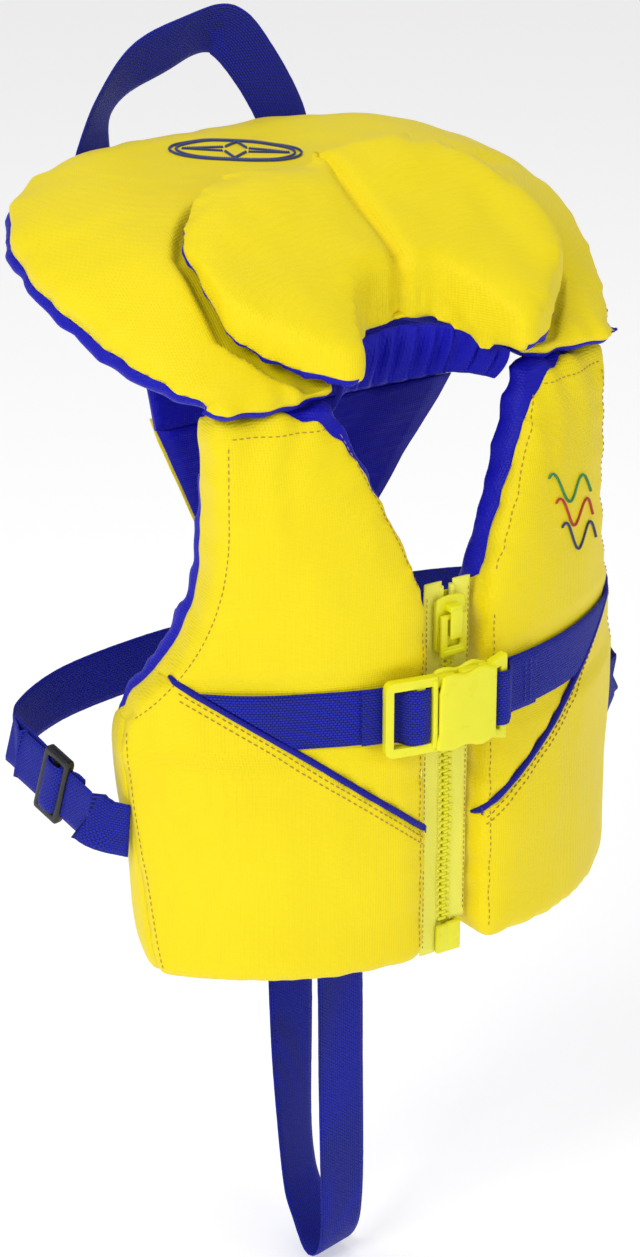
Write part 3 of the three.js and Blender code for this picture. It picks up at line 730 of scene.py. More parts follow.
def pillow_base(points):
    """Height of the collar's top under each point, found by a few corrections."""
    x, y = points[:, 0], points[:, 1]
    high = np.full(len(points), 20.0)
    sides = 1 - 0.62 * (np.abs(x) / COLLAR_HALF) ** 5
    for _ in range(4):
        back = (y - COLLAR_Y + high * math.sin(TILT)) / math.cos(TILT)
        fade = sides * (1 - 0.62 * ramp(back, 0, COLLAR_LONG) ** 10)
        high = (8 + 24 * ease(ramp(back, 0, 80))) * fade
    return COLLAR_Z + back * math.sin(TILT) + high * math.cos(TILT)


def under_pillow(points):
    """1 well inside the pillow's outline, fading to 0 at its edge."""
    x, y = points[:, 0], points[:, 1]
    inside = np.minimum(PILLOW_HALF - np.abs(x), np.minimum(pillow_rear(x) - y,
                                                           y - pillow_front(x)))
    return ease(ramp(inside, -2, 4))


def pillow_slab():
    """The two lobes' foam as one closed slab, crowned by the slope of its top."""
    wide, deep = 60, 30
    xs = PILLOW_HALF * np.linspace(-1, 1, wide + 1)
    points, faces = [], []
    for upper in (0, 1):
        for x in xs:
            y = pillow_front(x) + (pillow_rear(x) - pillow_front(x)) * np.linspace(0, 1, deep + 1)
            rows = np.stack([x + 0 * y, y, 0 * y], axis=1)
            rows[:, 2] = pillow_base(rows) + 1.5
            if upper:
                slope = 43.5 + 0.612 * (y + 42)
                sunk_rear = 9 if x < 0 else 3
                slope -= sunk_rear * np.exp(-((pillow_rear(x) - y) / 16) ** 2)
                rows[:, 2] = np.maximum(slope, rows[:, 2] + 7)
            else:
                at_lip = np.exp(-((y - pillow_front(x)) / 12) ** 2) * (abs(x) < CORNER_X - 6)
                rows[:, 2] -= 9 * at_lip
            points += [tuple(p) for p in rows]
    layer = (wide + 1) * (deep + 1)
    for i in range(wide):
        for j in range(deep):
            a, b = i * (deep + 1) + j, (i + 1) * (deep + 1) + j
            faces.append((a, a + 1, b + 1, b))
            faces.append((a + layer, b + layer, b + layer + 1, a + layer + 1))
    for i in range(wide):
        for j, turn in ((0, 1), (deep, -1)):
            a, b = i * (deep + 1) + j, (i + 1) * (deep + 1) + j
            faces.append((a, b, b + layer, a + layer)[::turn])
    for j in range(deep):
        for i, turn in ((0, -1), (wide, 1)):
            a, b = i * (deep + 1) + j, i * (deep + 1) + j + 1
            faces.append((a, b, b + layer, a + layer)[::turn])
    slab = mesh_object("pillow_pad", points, faces, YELLOW)
    face_outwards(slab)
    return slab


def pillow_piece():
    """The two-lobed head pillow, creased down its middle."""
    pad = pillow_slab()
    round_off(pad, 3.2, 4)
    blow_up(pad, 3)
    subdivide(pad)
    points = coords(pad)
    out = normals(pad)
    up = np.clip(out[:, 2] * 1.6, 0, 1)
    facing = np.clip(-out[:, 1] * 1.4, 0, 1)
    over = points[:, 2] - pillow_base(points)
    off_line = points[:, 0] - 2 + 2.5 * ripple(points, 45, 21)
    crease = dip(off_line, 2.4, 2.4) * up + dip(off_line, 5.0, 4.0) * facing
    crease += dip(off_line, 1.6, 12.0) * up
    folds = 1.6 * ripple(points * [1, 1, 0.4], 20, 22) * facing
    around = np.arctan2(points[:, 0], points[:, 1] + 20)
    rim = np.exp(-np.abs(over - 4) / 5) * 0.7 * gathers(points, around * 34, 30, 24)
    waves = 1.4 * ripple(points, 46, 23) + 0.5 * ripple(points, 18, 25)
    set_coords(pad, points + out * (folds + rim + waves - crease)[:, None])

    def seam_line(points):
        """The yellow reaches down the lip and into the crease, but not under the lobes."""
        over = points[:, 2] - pillow_base(points)
        lip = ramp(points[:, 1] - pillow_front(points[:, 0]), 12, 6)
        lip *= np.abs(points[:, 0]) < CORNER_X
        crease = np.exp(-(points[:, 0] / 12) ** 4) * ramp(over, 2.5, 5.5)
        return over - 7 + 14 * np.maximum(lip, crease)

    parts = split_at_seam(pad, seam_line, "pillow")
    for name, slot, kind in (("pillow_top", "cover", "cover"),
                             ("pillow_bottom", "lining", "underside")):
        obj = parts[name]
        give_thickness(obj, 0.6)
        nodes = [f"pillow_{side}_{kind}" for side, _ in SIDES]
        if kind == "cover":
            nodes += [f"pillow_{side}_foam" for side, _ in SIDES]
        finish_piece(obj, "pillow", slot, *nodes)


# --------------------------------------------------------------------- webbing
def spline(points, count):
    """Even points on a smooth curve through the given ones (Catmull-Rom)."""
    knots = [Vector(p) for p in points]
    knots = [2 * knots[0] - knots[1], *knots, 2 * knots[-1] - knots[-2]]
    fine = []
    for a, b, c, d in zip(knots, knots[1:], knots[2:], knots[3:]):
        for i in range(24):
            t = i / 24
            fine.append(0.5 * (2 * b + (c - a) * t + (2 * a - 5 * b + 4 * c - d) * t * t
                               + (3 * b - a - 3 * c + d) * t ** 3))
    fine.append(knots[-2])
    return even(fine, count)


def lengths_along(points):
    """How far along its path each point lies."""
    return np.cumsum([0] + [(b - a).length for a, b in zip(points, points[1:])])


def vector_at(distance, lengths, values):
    """What a row of vectors comes to at a distance along its path."""
    return Vector([np.interp(distance, lengths, values[:, k]) for k in range(3)])


def even(points, count):
    """The same polyline with evenly spaced points."""
    lengths = lengths_along(points)
    values = np.array(points)
    return [vector_at(w, lengths, values) for w in np.linspace(0, lengths[-1], count)]


def tangent_at(path, i):
    """The way a path runs at one of its points."""
    return (path[min(i + 1, len(path) - 1)] - path[max(i - 1, 0)]).normalized()


def tube_faces(rings, sides):
    """The walls and two end caps over rings of points."""
    faces = []
    for i in range(rings - 1):
        for j in range(sides):
            a, b = i * sides + j, i * sides + (j + 1) % sides
            faces.append((a, b, b + sides, a + sides))
    faces.append(tuple(reversed(range(sides))))
    faces.append(tuple(range((rings - 1) * sides, rings * sides)))
    return faces


def web_strap(name, path, across, material=None, wide=WEB_WIDE, thick=WEB_THICK, fray=0.12):
    """Flat webbing along a path; across gives the width's direction at each point."""
    columns = 10
    points, uvs = [], []
    length = 0
    for i, p in enumerate(path):
        if i:
            length += (p - path[i - 1]).length
        tangent = tangent_at(path, i)
        side = across(i) if callable(across) else across
        side = (side - side.dot(tangent) * tangent).normalized()
        square = side.cross(tangent)
        for face in (1, -1):
            for j in range(columns + 1):
                share = (j / columns * 2 - 1) * face
                edge = fray * noise.noise(Vector((length / 3, share * 9, 3)))
                half = wide / 2 + edge
                lift = thick / 2 * math.sqrt(max(0.0, 1 - abs(share) ** 14)) + 0.12 * (share ** 2)
                lift = min(lift, thick / 2)
                points.append(p + side * half * share + square * face * lift)
                uvs.append((length, share * half))
    obj = mesh_object(name, points, tube_faces(len(path), 2 * (columns + 1)), material or WEB)
    face_outwards(obj)
    layer = obj.data.uv_layers.new(name="cloth")
    for loop in obj.data.loops:
        layer.data[loop.index].uv = uvs[loop.vertex_index]
    return obj


def stitch_row(name, path, lift, material, body=None, pitch=3.0, long=2.1, thick=0.55):
    """A row of thread stitches along a path of (point, outward direction)."""
    lengths = lengths_along([p for p, _ in path])
    place = np.array([p for p, _ in path])
    facing = np.array([out for _, out in path])
    sides = 6
    # along the stitch, girth and height above the cloth, of each ring of points
    rings = ((0, 0.25, -0.3), (0.15, 0.85, 0.1), (0.5, 1, 0.45), (0.85, 0.85, 0.1),
             (1, 0.25, -0.3))
    verts, faces = [], []
    start = pitch / 2
    while start + long < lengths[-1]:
        a, b = vector_at(start, lengths, place), vector_at(start + long, lengths, place)
        up = vector_at(start, lengths, facing).normalized()
        side = (b - a).normalized().cross(up).normalized()
        base = len(verts)
        for share, size, height in rings:
            centre = a.lerp(b, share) + up * (lift + height * thick)
            for turn in range(sides):
                angle = turn * 2 * math.pi / sides
                verts.append(centre + (side * math.cos(angle) + up * math.sin(angle))
                             * size * thick / 2)
        last = base + (len(rings) - 1) * sides
        for ring in range(base, last, sides):
            for turn in range(sides):
                c, d = ring + turn, ring + (turn + 1) % sides
                faces.append((c, c + sides, d + sides, d))
        faces.append(tuple(range(base, base + sides)))
        faces.append(tuple(reversed(range(last, last + sides))))
        start += pitch
    obj = mesh_object(name, verts, faces, material)
    face_outwards(obj)
    if body:
        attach(obj, body)
    return obj


# ----------------------------------------------------- laying things on cloth
SURFACES = {}


def keep_surface(name, obj):
    """Remembers a cover, so that stitches and cords can be laid on it."""
    points = [v.co.copy() for v in obj.data.vertices]
    SURFACES[name] = BVHTree.FromPolygons(points, [tuple(f.vertices) for f in obj.data.polygons])


def lay_on(surface, start, direction):
    """The first place where a line from start meets a cover, with the way that it faces."""
    hit, facing, _, _ = SURFACES[surface].ray_cast(start * MM, direction)
    if hit is None:
        return None
    return hit / MM, facing


def lay_row(surface, starts):
    """Places on a cover under (start, direction) pairs; misses are left out."""
    found = (lay_on(surface, *pair) for pair in starts)
    return [spot for spot in found if spot]


def front_row(side, sign, places):
    """Places on a front half's cover for pairs of arc length and height."""
    starts = []
    for arc, z in places:
        start = from_front(arc, RADIUS + 30, z, sign)
        starts.append((start, Vector((-start.x, SPINE_Y - start.y, 0)).normalized()))
    return lay_row(f"{side}_front", starts)


# ------------------------------------------------------------------ chest belt
BELT_R = RADIUS + 0.35 + WEB_THICK / 2
BUCKLE_BACK = RADIUS + 2.3
BUCKLE_MID = BUCKLE_BACK + 5
BAR_MID = BUCKLE_MID + 0.6
UNDER = BELT_R + WEB_THICK + 0.35
OVER = BAR_MID + 1.8 + WEB_THICK / 2 + 0.35
UPRIGHT = Vector((0, 0, 1))
SIDEWAYS = Vector((1, 0, 0))


def belt_point(arc, radius, z=BELT_Z):
    """A point beside the belt, by its arc length and distance from the spine axis."""
    angle = arc / BUCKLE_MID
    return Vector((radius * math.sin(angle), SPINE_Y - radius * math.cos(angle), z))


def belt_line(knots, count):
    """A smooth line along the belt through pairs of arc length and distance from the spine."""
    return [belt_point(arc, radius) for arc, radius, _ in
            spline([(arc, radius, 0) for arc, radius in knots], count)]


def slanted_end(obj, sign):
    """Trims the belt's outer end to the piping that it is sewn into."""
    def above_piping(points):
        return points[:, 2] - piping_z(sign * points[:, 0]) - 1.2

    with opened(obj) as shape:
        cut_along(shape, above_piping)
        centres = np.array([f.calc_center_median() for f in shape.faces]) / MM
        gone = [f for f, value in zip(shape.faces, above_piping(centres)) if value < 0]
        bmesh.ops.delete(shape, geom=gone, context="FACES")
        bmesh.ops.holes_fill(shape, edges=shape.edges, sides=60)


def chest_belt():
    """The belt's two sewn halves, its doubled ends and the tack that holds one of them."""
    end = BUCKLE_MID * math.asin((outer_edge_at(PIPING_OUTER) - 9) / RADIUS)
    right = [belt_point(arc, BELT_R + 0.6 + 0.5 * math.sin(arc / 9))
             for arc in np.linspace(-end - 20, -24, 90)]
    left = belt_line([
        (end + 20, BELT_R + 0.5), (60, BELT_R + 0.6), (24, BELT_R + 0.5), (15, BELT_R + 1.2),
        (12, BAR_MID - 1.6), (11.8, BAR_MID), (11.8, OVER - 1.2), (14, OVER + 0.5), (18, OVER),
        (23, UNDER + 2.2), (28, UNDER + 0.7), (42, UNDER + 0.7)], 150)
    for (side, sign), path in zip(SIDES, (right, left)):
        belt = web_strap(f"{side}_chest_belt", path, UPRIGHT)
        slanted_end(belt, sign)
        finish_piece(belt, f"{side}_front", "webbing", f"{side}_belt")
    loop = belt_line([
        (-50, UNDER + 0.7), (-44, UNDER + 0.6), (-38, UNDER + 0.6), (-34, UNDER + 2.2),
        (-31, OVER - 1.6), (-28, OVER), (-25, OVER), (-22.4, OVER - 1), (-21.5, BAR_MID),
        (-22.4, UNDER + 0.9), (-25, UNDER), (-29, UNDER)], 80)
    finish_piece(web_strap("plug_webbing_loop", loop, UPRIGHT), "buckle_plug", "webbing",
                 "right_belt_loop")
    tack = 34                              # where the left belt's tail is sewn down
    outward = belt_point(tack, RADIUS + 1) - belt_point(tack, RADIUS)
    heights = np.linspace(BELT_Z - 11, BELT_Z + 11, 12)
    for name, shift in ((0, 0), (3, 3.5)):
        path = [(belt_point(tack + shift, UNDER + 1.4, z), outward) for z in heights]
        stitch_row(f"belt_end_stitches_{name}", path, 0, BLUE_THREAD, "left_front",
                   pitch=2.2, long=1.6)


# -------------------------------------------------------------------- mouldings
def cell_plate(name, columns, rows, holes, low, high, bevel, material=None, reshape=None):
    """A plate cut into cells: the grid's lines are given, some cells are holes, and it is
    extruded from low to high. Local axes: x along the columns, y the depth, z the rows."""
    bpy.ops.object.select_all(action="DESELECT")
    bpy.ops.mesh.primitive_grid_add(x_subdivisions=len(columns) - 1, y_subdivisions=len(rows) - 1,
                                    size=2)
    obj = bpy.context.object
    obj.name = obj.data.name = name
    for v in obj.data.vertices:
        x = columns[round((v.co.x + 1) / 2 * (len(columns) - 1))]
        z = rows[round((v.co.y + 1) / 2 * (len(rows) - 1))]
        if reshape:
            x, z = reshape(x, z)
        v.co = Vector((x, low, z)) * MM
    with opened(obj) as shape:
        gone = []
        for face in shape.faces:
            centre = face.calc_center_median() / MM
            if any(x0 < centre.x < x1 and z0 < centre.z < z1 for x0, x1, z0, z1 in holes):
                gone.append(face)
        bmesh.ops.delete(shape, geom=gone, context="FACES")
    bpy.ops.object.mode_set(mode="EDIT")
    bpy.ops.mesh.select_all(action="SELECT")
    bpy.ops.mesh.extrude_region_move(TRANSFORM_OT_translate={"value": (0, (high - low) * MM, 0)})
    bpy.ops.mesh.select_all(action="SELECT")
    bpy.ops.mesh.normals_make_consistent(inside=False)
    bpy.ops.object.mode_set(mode="OBJECT")
    sharp = math.radians(35)
    apply_modifier(obj, "BEVEL", width=bevel * MM, segments=3, limit_method="ANGLE",
                   angle_limit=sharp)
    select_only(obj)
    bpy.ops.object.shade_smooth_by_angle(angle=sharp)
    obj.data.materials.clear()
    obj.data.materials.append(material or LEMON)
    return obj


def wrap_on_belt(obj):
    """Bends a plate built flat (x the arc, y the distance from the spine) round the chest."""
    set_coords(obj, [belt_point(x, y, BELT_Z + z) for x, y, z in coords(obj)])
    face_outwards(obj)


def join_into(name, *pieces):
    """One object of that name from all the pieces."""
    bpy.ops.object.select_all(action="DESELECT")
    for obj in pieces:
        obj.select_set(True)
    target = pieces[0]
    bpy.context.view_layer.objects.active = target
    bpy.ops.object.join()
    target.name = target.data.name = name
    return target


def buckle():
    """A side-release buckle: socket, ladder plug and two prongs, bent to the chest."""
    back, front = BUCKLE_BACK, BUCKLE_BACK + 10
    tall = 17                              # half the height of the plug's and socket's frames

    def waist(x, z):
        """The socket's outline: humps behind, a pinched waist and flared ears."""
        if abs(z) < 10:
            return x, z
        flare = 2.4 * max(0, (x - 6) / 10) ** 1.5
        hump = 1.6 * math.exp(-((x + 12) / 5) ** 2)
        pinch = 2.2 * math.exp(-((x - 2.5) / 5) ** 2)
        slant = 1.2 * z / 16 if x < -15 else 0
        return x + slant, z + math.copysign(flare + hump - pinch, z)

    def ears(x, z):
        flare = 2.4 * max(0, (x - 6) / 10) ** 1.4
        return x, z + math.copysign(flare, z) if abs(z) > 12 else z

    shell = [cell_plate(name, [-18, -15, -12, -9, -6, -3, 0, 3, 6, 8, 10],
                        [-16, -13, -9, 0, 9, 13, 16], [], low, low + 2.4, 1.1, reshape=waist)
             for name, low in (("outer_face", front - 2.4), ("inner_face", back))]
    core = cell_plate("core", [5, 7.5, 10], [-16, 0, 16], [], back + 0.6, front - 0.6, 0.8)
    rib = cell_plate("rib", [-12, 6], [-1.4, 1.4], [], back + 1, front - 1, 0.4)
    ring = cell_plate("ring", [9, 10.5, 13.6, 15.4, 17], [-tall, -14.6, -13, 13, 14.6, tall],
                      [(10.4, 13.7, -13, 13)], BAR_MID - 2.6, BAR_MID + 2.4, 1.1, reshape=ears)
    socket = join_into("socket_body", *shell, core, rib, ring)
    wrap_on_belt(socket)
    finish_piece(socket, "left_front", "buckle", "buckle_socket")

    end_x, corner = -41.5, 3.4             # the plug's outer end and its corners' radius

    def round_corner(x, z):
        """Draws the grid's two outer corners in onto arcs."""
        centre_x, centre_z = end_x + corner, tall - corner
        dx, dz = min(0, x - centre_x), max(0, abs(z) - centre_z)
        far = math.hypot(dx, dz)
        pull = min(1, corner / far) if far else 1
        if dx < 0 < dz:
            return centre_x + dx * pull, math.copysign(centre_z + dz * pull, z)
        return x, z

    ladder = cell_plate("ladder", [end_x, -40.6, -39.6, -38, -27.8, -24, -20.4, -18.3],
                        [-tall, -16.4, -15.2, -13, 0, 13, 15.2, 16.4, tall],
                        [(-38, -27.8, -13, 13), (-24, -20.4, -13, 13)],
                        BAR_MID - 2.1, BAR_MID + 2.1, 1.3, reshape=round_corner)
    shoulder = cell_plate("shoulder", [-20.6, -18.3], [-15.4, 0, 15.4], [], back + 1.4,
                          front - 1.2, 0.8)
    guides = [cell_plate("guide", [-19, -13, -8.2], sorted((k * 11.4, k * 15.8)), [],
                         back + 2.8, front - 2.8, 0.7) for k in (1, -1)]
    plug = join_into("plug_frame", ladder, shoulder, *guides)
    wrap_on_belt(plug)
    finish_piece(plug, "buckle_plug", "buckle", "buckle_plug")
    for name, k in (("upper", 1), ("lower", -1)):
        arm = cell_plate("arm", [-18, -12, -6, 0, 3.6], sorted((k * 6.6, k * 9.4)), [],
                         back + 2.8, front - 2.8, 0.6)
        tab = cell_plate("tab", [-6, -3, 0, 2, 3.6], sorted((k * 8, k * 12, k * 16.6)), [],
                         back + 2.8, front - 2.8, 0.9)
        prong = join_into(f"prong_{name}", arm, tab)
        wrap_on_belt(prong)
        finish_piece(prong, f"{name}_prong", "buckle", f"buckle_prong_{name}")


# ------------------------------------------------------------------------- zip
def upright_plate(name, x0, x1, z0, z1, y0, y1, bevel, reshape=None, columns=2, rows=2):
    """A plate that stands square to the zip, cut into even cells."""
    return cell_plate(name, list(np.linspace(x0, x1, columns + 1)),
                      list(np.linspace(z0, z1, rows + 1)), [], y0, y1, bevel, reshape=reshape)


TAPE_EDGE, TAPE_TOP = 11.2, -82
BOX_TALL = 14


def zip_tape(side, sign, foot):
    """One slightly wavy tape."""
    def waver(z):
        return math.sin(z / 17) + 0.5 * math.sin(z / 7 + 1)

    middle = (3.4 + TAPE_EDGE) / 2
    path = [Vector((sign * middle + 0.25 * waver(z), ZIP_Y + 0.3 * waver(z + 9), z))
            for z in np.linspace(foot, TAPE_TOP, 80)]
    tape = web_strap(f"{side}_tape", path, SIDEWAYS, TAPE, wide=TAPE_EDGE - 2.2, thick=1.0,
                     fray=0.25)
    finish_piece(tape, f"{side}_front", "zip_tape", f"{side}_zip_tape")


def tape_stitches(side, sign, foot):
    """The row that sews a tape's outer edge to its front half."""
    row = [(Vector((sign * (TAPE_EDGE - 0.6), ZIP_Y - 0.8, z)), Vector((0, -1, 0)))
           for z in np.linspace(foot + 2, TAPE_TOP - 4, 60)]
    stitch_row(f"{side}_tape_stitches", row, 0, GOLD_THREAD, f"{side}_front",
               pitch=2.6, long=1.8, thick=0.4)


def zip_teeth(side, sign):
    """One row of moulded teeth on its bead; the two rows are half a pitch apart."""
    pitch = 3.1
    last = -116                            # the teeth end under the slider

    def sway(z):
        return 0.35 * math.sin(z / 11)

    tooth = cell_plate("tooth", [-1.1, 1.2, 3.2], [0, 0.72, 1.44], [], -2.0, 2.0, 0.4)
    shape = coords(tooth)
    faces = [tuple(p.vertices) for p in tooth.data.polygons]
    bpy.data.objects.remove(tooth)
    points, polygons = [], []
    z = HEM_Z + 15.5 + (pitch / 2 if sign > 0 else 0)
    while z < last:
        base = len(points)
        points += [Vector((sign * p[0] + sway(z), ZIP_Y + p[1], z + p[2])) for p in shape]
        polygons += [tuple(base + i for i in f) for f in faces]
        z += pitch
    teeth = mesh_object(f"{side}_teeth", points, polygons, LEMON)
    face_outwards(teeth)
    bead = web_strap(f"{side}_bead", [Vector((sign * 2.7 + sway(z), ZIP_Y, z))
                                      for z in np.linspace(HEM_Z + 16, -84, 90)],
                     SIDEWAYS, TAPE, wide=1.9, thick=2.2, fray=0)
    join_into(f"{side}_teeth", teeth, bead)
    finish_piece(teeth, f"{side}_front", "zip", f"{side}_zip_teeth")


def zip_fastener():
    """Tapes, teeth, slider, pull tab, retainer box and insertion pin."""
    for side, sign in SIDES:
        foot = HEM_Z + (BOX_TALL + 0.5 if sign > 0 else 0)
        zip_tape(side, sign, foot)
        zip_teeth(side, sign)
        tape_stitches(side, sign, foot)
    slider_and_pull()
    behind, ahead = ZIP_Y + 3, ZIP_Y - 3
    shell = [upright_plate("box_" + name, x0, x1, HEM_Z, HEM_Z + tall, y0, y1, bevel)
             for name, x0, x1, tall, y0, y1, bevel in (
                 ("front", 0.6, 8.0, BOX_TALL, ZIP_Y - 3.6, ZIP_Y - 1.3, 0.8),
                 ("lip", -4.6, 1.4, BOX_TALL - 0.4, ZIP_Y - 3.6, ZIP_Y - 1.4, 0.8),
                 ("back", -4.6, 8.0, BOX_TALL, ZIP_Y + 1.4, ZIP_Y + 3.4, 0.8),
                 ("side", 6.0, 8.0, BOX_TALL, ahead, behind, 0.5),
                 ("floor", -2.9, 8.0, 1.8, ahead, behind, 0.4))]
    finish_piece(join_into("retainer_box", *shell), "left_front", "zip", "zip_box")
    pin = upright_plate("insertion_pin", -2.9, -0.7, HEM_Z + 2.4, HEM_Z + 13.6, ZIP_Y - 1,
                        ZIP_Y + 1, 0.4)
    finish_piece(pin, "right_front", "zip", "zip_pin")


def slider_and_pull():
    """A shield with wings above and a straight skirt below, its bridge and its tab."""
    top, foot, half_wide = -89, -113, 8

    def shield(x, z):
        share = (z - foot) / (top - foot)
        half = 6.6 + 2.6 * max(0, share - 0.3) * (1.2 - share) * 2.2
        across = x / half_wide
        return across * half, z + 1.5 * (1 - across ** 2) * (share > 0.9)

    plates = [upright_plate("skin", -half_wide, half_wide, foot, top,
                            *sorted((ZIP_Y + k * 2.1, ZIP_Y + k * 3.6)), 0.7, shield, 6, 8)
              for k in (1, -1)]
    flanges = [upright_plate("lip", side * 6.4, side * 7.6, foot + 1, top - 1,
                             *sorted((ZIP_Y + k * 1.3, ZIP_Y + k * 3.4)), 0.4,
                             columns=1, rows=1) for k in (1, -1) for side in (1, -1)]
    bridge = [upright_plate("bridge", -3.0, 3.0, -106, -92.3, ZIP_Y - 8.4, ZIP_Y - 6.9, 0.7,
                            rows=4),
              upright_plate("bridge_head", -3.2, 3.2, -94.2, -91.2, ZIP_Y - 8.2, ZIP_Y - 3, 0.9),
              upright_plate("bridge_foot", -1.6, 1.6, -105.9, -104.2, ZIP_Y - 7.4, ZIP_Y - 3, 0.4,
                            columns=1, rows=1)]
    slider = join_into("slider_body", *plates, *flanges, *bridge)
    finish_piece(slider, "zip_slider", "zip", "zip_slider")
    pull_y = ZIP_Y - 5.45
    tab = cell_plate("tab_frame", [-6.6, -5, -3.3, 3.3, 5, 6.6],
                     [-114.4, -112, -110, -97.6, -95.4], [(-3.3, 3.3, -110, -97.6)],
                     pull_y - 1.0, pull_y + 1.0, 0.6)
    ridge = upright_plate("ridge", -5.2, 5.2, -113.6, -111.2, pull_y - 1.5, pull_y, 0.5)
    finish_piece(join_into("pull_tab", tab, ridge), "zip_pull", "zip", "zip_pull")


# ---------------------------------------------------------------------- piping
def round_cord(name, path, thick, material):
    """A cord along a path, a little uneven and drawn in at its two ends."""
    sides = 10
    points = []
    for i, p in enumerate(path):
        tangent = tangent_at(path, i)
        side = tangent.cross(Vector((0.2, 0.1, 1))).normalized()
        up = side.cross(tangent)
        size = thick / 2 * (1 + 0.05 * noise.noise(p / 4))
        size *= 0.55 if i in (0, len(path) - 1) else 1
        for turn in range(sides):
            angle = 2 * math.pi * turn / sides
            points.append(p + (side * math.cos(angle) + up * math.sin(angle)) * size)
    obj = mesh_object(name, points, tube_faces(len(path), sides), material)
    face_outwards(obj)
    return obj


def settle(path):
    """The same path without its small wobbles: a taut cord bridges the puckers."""
    reach = 3
    calm = []
    for i in range(len(path)):
        near = min(reach, i, len(path) - 1 - i)
        calm.append(sum(path[i - near:i + near + 1], Vector()) / (2 * near + 1))
    return calm


def piping():
    """The blue cord of each slanted seam, with its twin stitch rows and a bar tack."""
    for side, sign in SIDES:
        seam = [(float(arc_of(x)), float(piping_z(x)))
                for x in np.linspace(PIPING_X - 1, outer_edge_at(PIPING_OUTER) - 1, 60)]
        path = settle([spot + out for spot, out in front_row(side, sign, seam)])
        cord = round_cord(f"{side}_v_piping", path, 3.0, CORD)
        finish_piece(cord, f"{side}_front", "piping", f"{side}_piping")
        for k, drop in enumerate((4.2, 7.4)):
            row = front_row(side, sign, [(arc, z - drop) for arc, z in seam[2:-1]])
            stitch_row(f"{side}_v_stitches_{k}", row, 0.1, GOLD_THREAD,
                       f"{side}_front")
        tack = [(path[1] + Vector((0, -1.2, z)), Vector((0, -1, 0))) for z in (2, -2)]
        stitch_row(f"{side}_piping_bar_tack", tack, 0.2, BLUE_THREAD,
                   f"{side}_front", pitch=0.9, long=0.8, thick=0.9)


# ------------------------------------------------------------------------ back
def cloth_from(name, node, material, crumple, reshape=None):
    """A sheet of cloth from a frame node, cut finer and slightly crumpled."""
    obj = copy_of(name, [node], material)
    with opened(obj) as shape:
        for _ in range(3):
            long_edges = [e for e in shape.edges if e.calc_length() > 7 * MM]
            bmesh.ops.subdivide_edges(shape, edges=long_edges, cuts=1, use_grid_fill=True)
    obj.data.shade_smooth()
    points = coords(obj)
    if reshape:
        points = reshape(points)
    flat = points * [1, 0, 1]
    points[:, 1] += crumple * (ripple(flat, 34, 31) + 0.4 * ripple(flat, 12, 32))
    set_coords(obj, points)
    face_outwards(obj)
    return obj


def lap_over_yoke(points):
    """The cover's top edge is sewn over the outside of the yoke."""
    top = ramp(points[:, 2], -38, -34)
    return points * [1.012, 1, 1] + np.stack([0 * top, 0.6 + 2.0 * top, 5 * top], axis=1)


def back_panel():
    """The tapering back: a yellow cover, a blue lining and the yoke above."""
    inside = cloth_from("back_panel_inside", "back_panel_lining", BLUE, 1.6)
    finish_piece(inside, "collar", "lining", "back_panel_lining")
    outside = cloth_from("back_panel_outside", "back_panel_cover", YELLOW, 1.6, lap_over_yoke)
    finish_piece(outside, "collar", "cover", "back_panel_cover")
    yoke = cloth_from("back_yoke_cloth", "back_yoke", BLUE, 0.8)
    finish_piece(yoke, "collar", "lining", "back_yoke")


# ------------------------------------------------------------------ side straps
STRAP_Z, GLIDE_Z, STRAP_X = -186, -171, 149
BACK_BELT_Z, BACK_BELT_HALF = -148, 26


def mirrored(points, sign):
    """The points, or their mirror image for the wearer's right."""
    return [Vector((sign * p.x, p.y, p.z)) for p in points]


def side_path(back_y, start, end):
    """From the side seam, straight through the slide from start to end, to the back belt."""
    x = outer_edge_at(STRAP_Z)
    seam = Vector((x, SPINE_Y - math.sqrt(RADIUS ** 2 - x ** 2), STRAP_Z))
    knots = [seam + Vector((-0.5, -1.5, -0.5)), seam + Vector((3.4, 3, 0)),
             seam + Vector((7.5, 7, 1)), start, start.lerp(end, 0.06), start.lerp(end, 0.94), end,
             (141, 47, -162), (112, 58, -156), (66, 58, -150),
             (BACK_BELT_HALF + 5, back_y, BACK_BELT_Z), (BACK_BELT_HALF, back_y, BACK_BELT_Z)]
    return spline(knots, 110)


def side_straps():
    """The adjusting straps from the side seams, and the belt across the back."""
    low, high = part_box("back_belt")
    back_y = (low.y + high.y) / 2 / MM
    start, end = Vector((140, -13, STRAP_Z + 5)), Vector((STRAP_X, 32, GLIDE_Z + 5))
    for side, sign in SIDES:
        path = mirrored(side_path(back_y, start, end), sign)
        strap = web_strap(f"{side}_adjuster_strap", path, UPRIGHT)
        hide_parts(f"{side}_side_strap")
        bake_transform(strap)
        tri_glide(side, sign, start, end)
    reach = BACK_BELT_HALF + 1
    path = [Vector((x, back_y, BACK_BELT_Z)) for x in np.linspace(-reach, reach, 24)]
    finish_piece(web_strap("back_belt_webbing", path, UPRIGHT), "collar", "webbing", "back_belt")


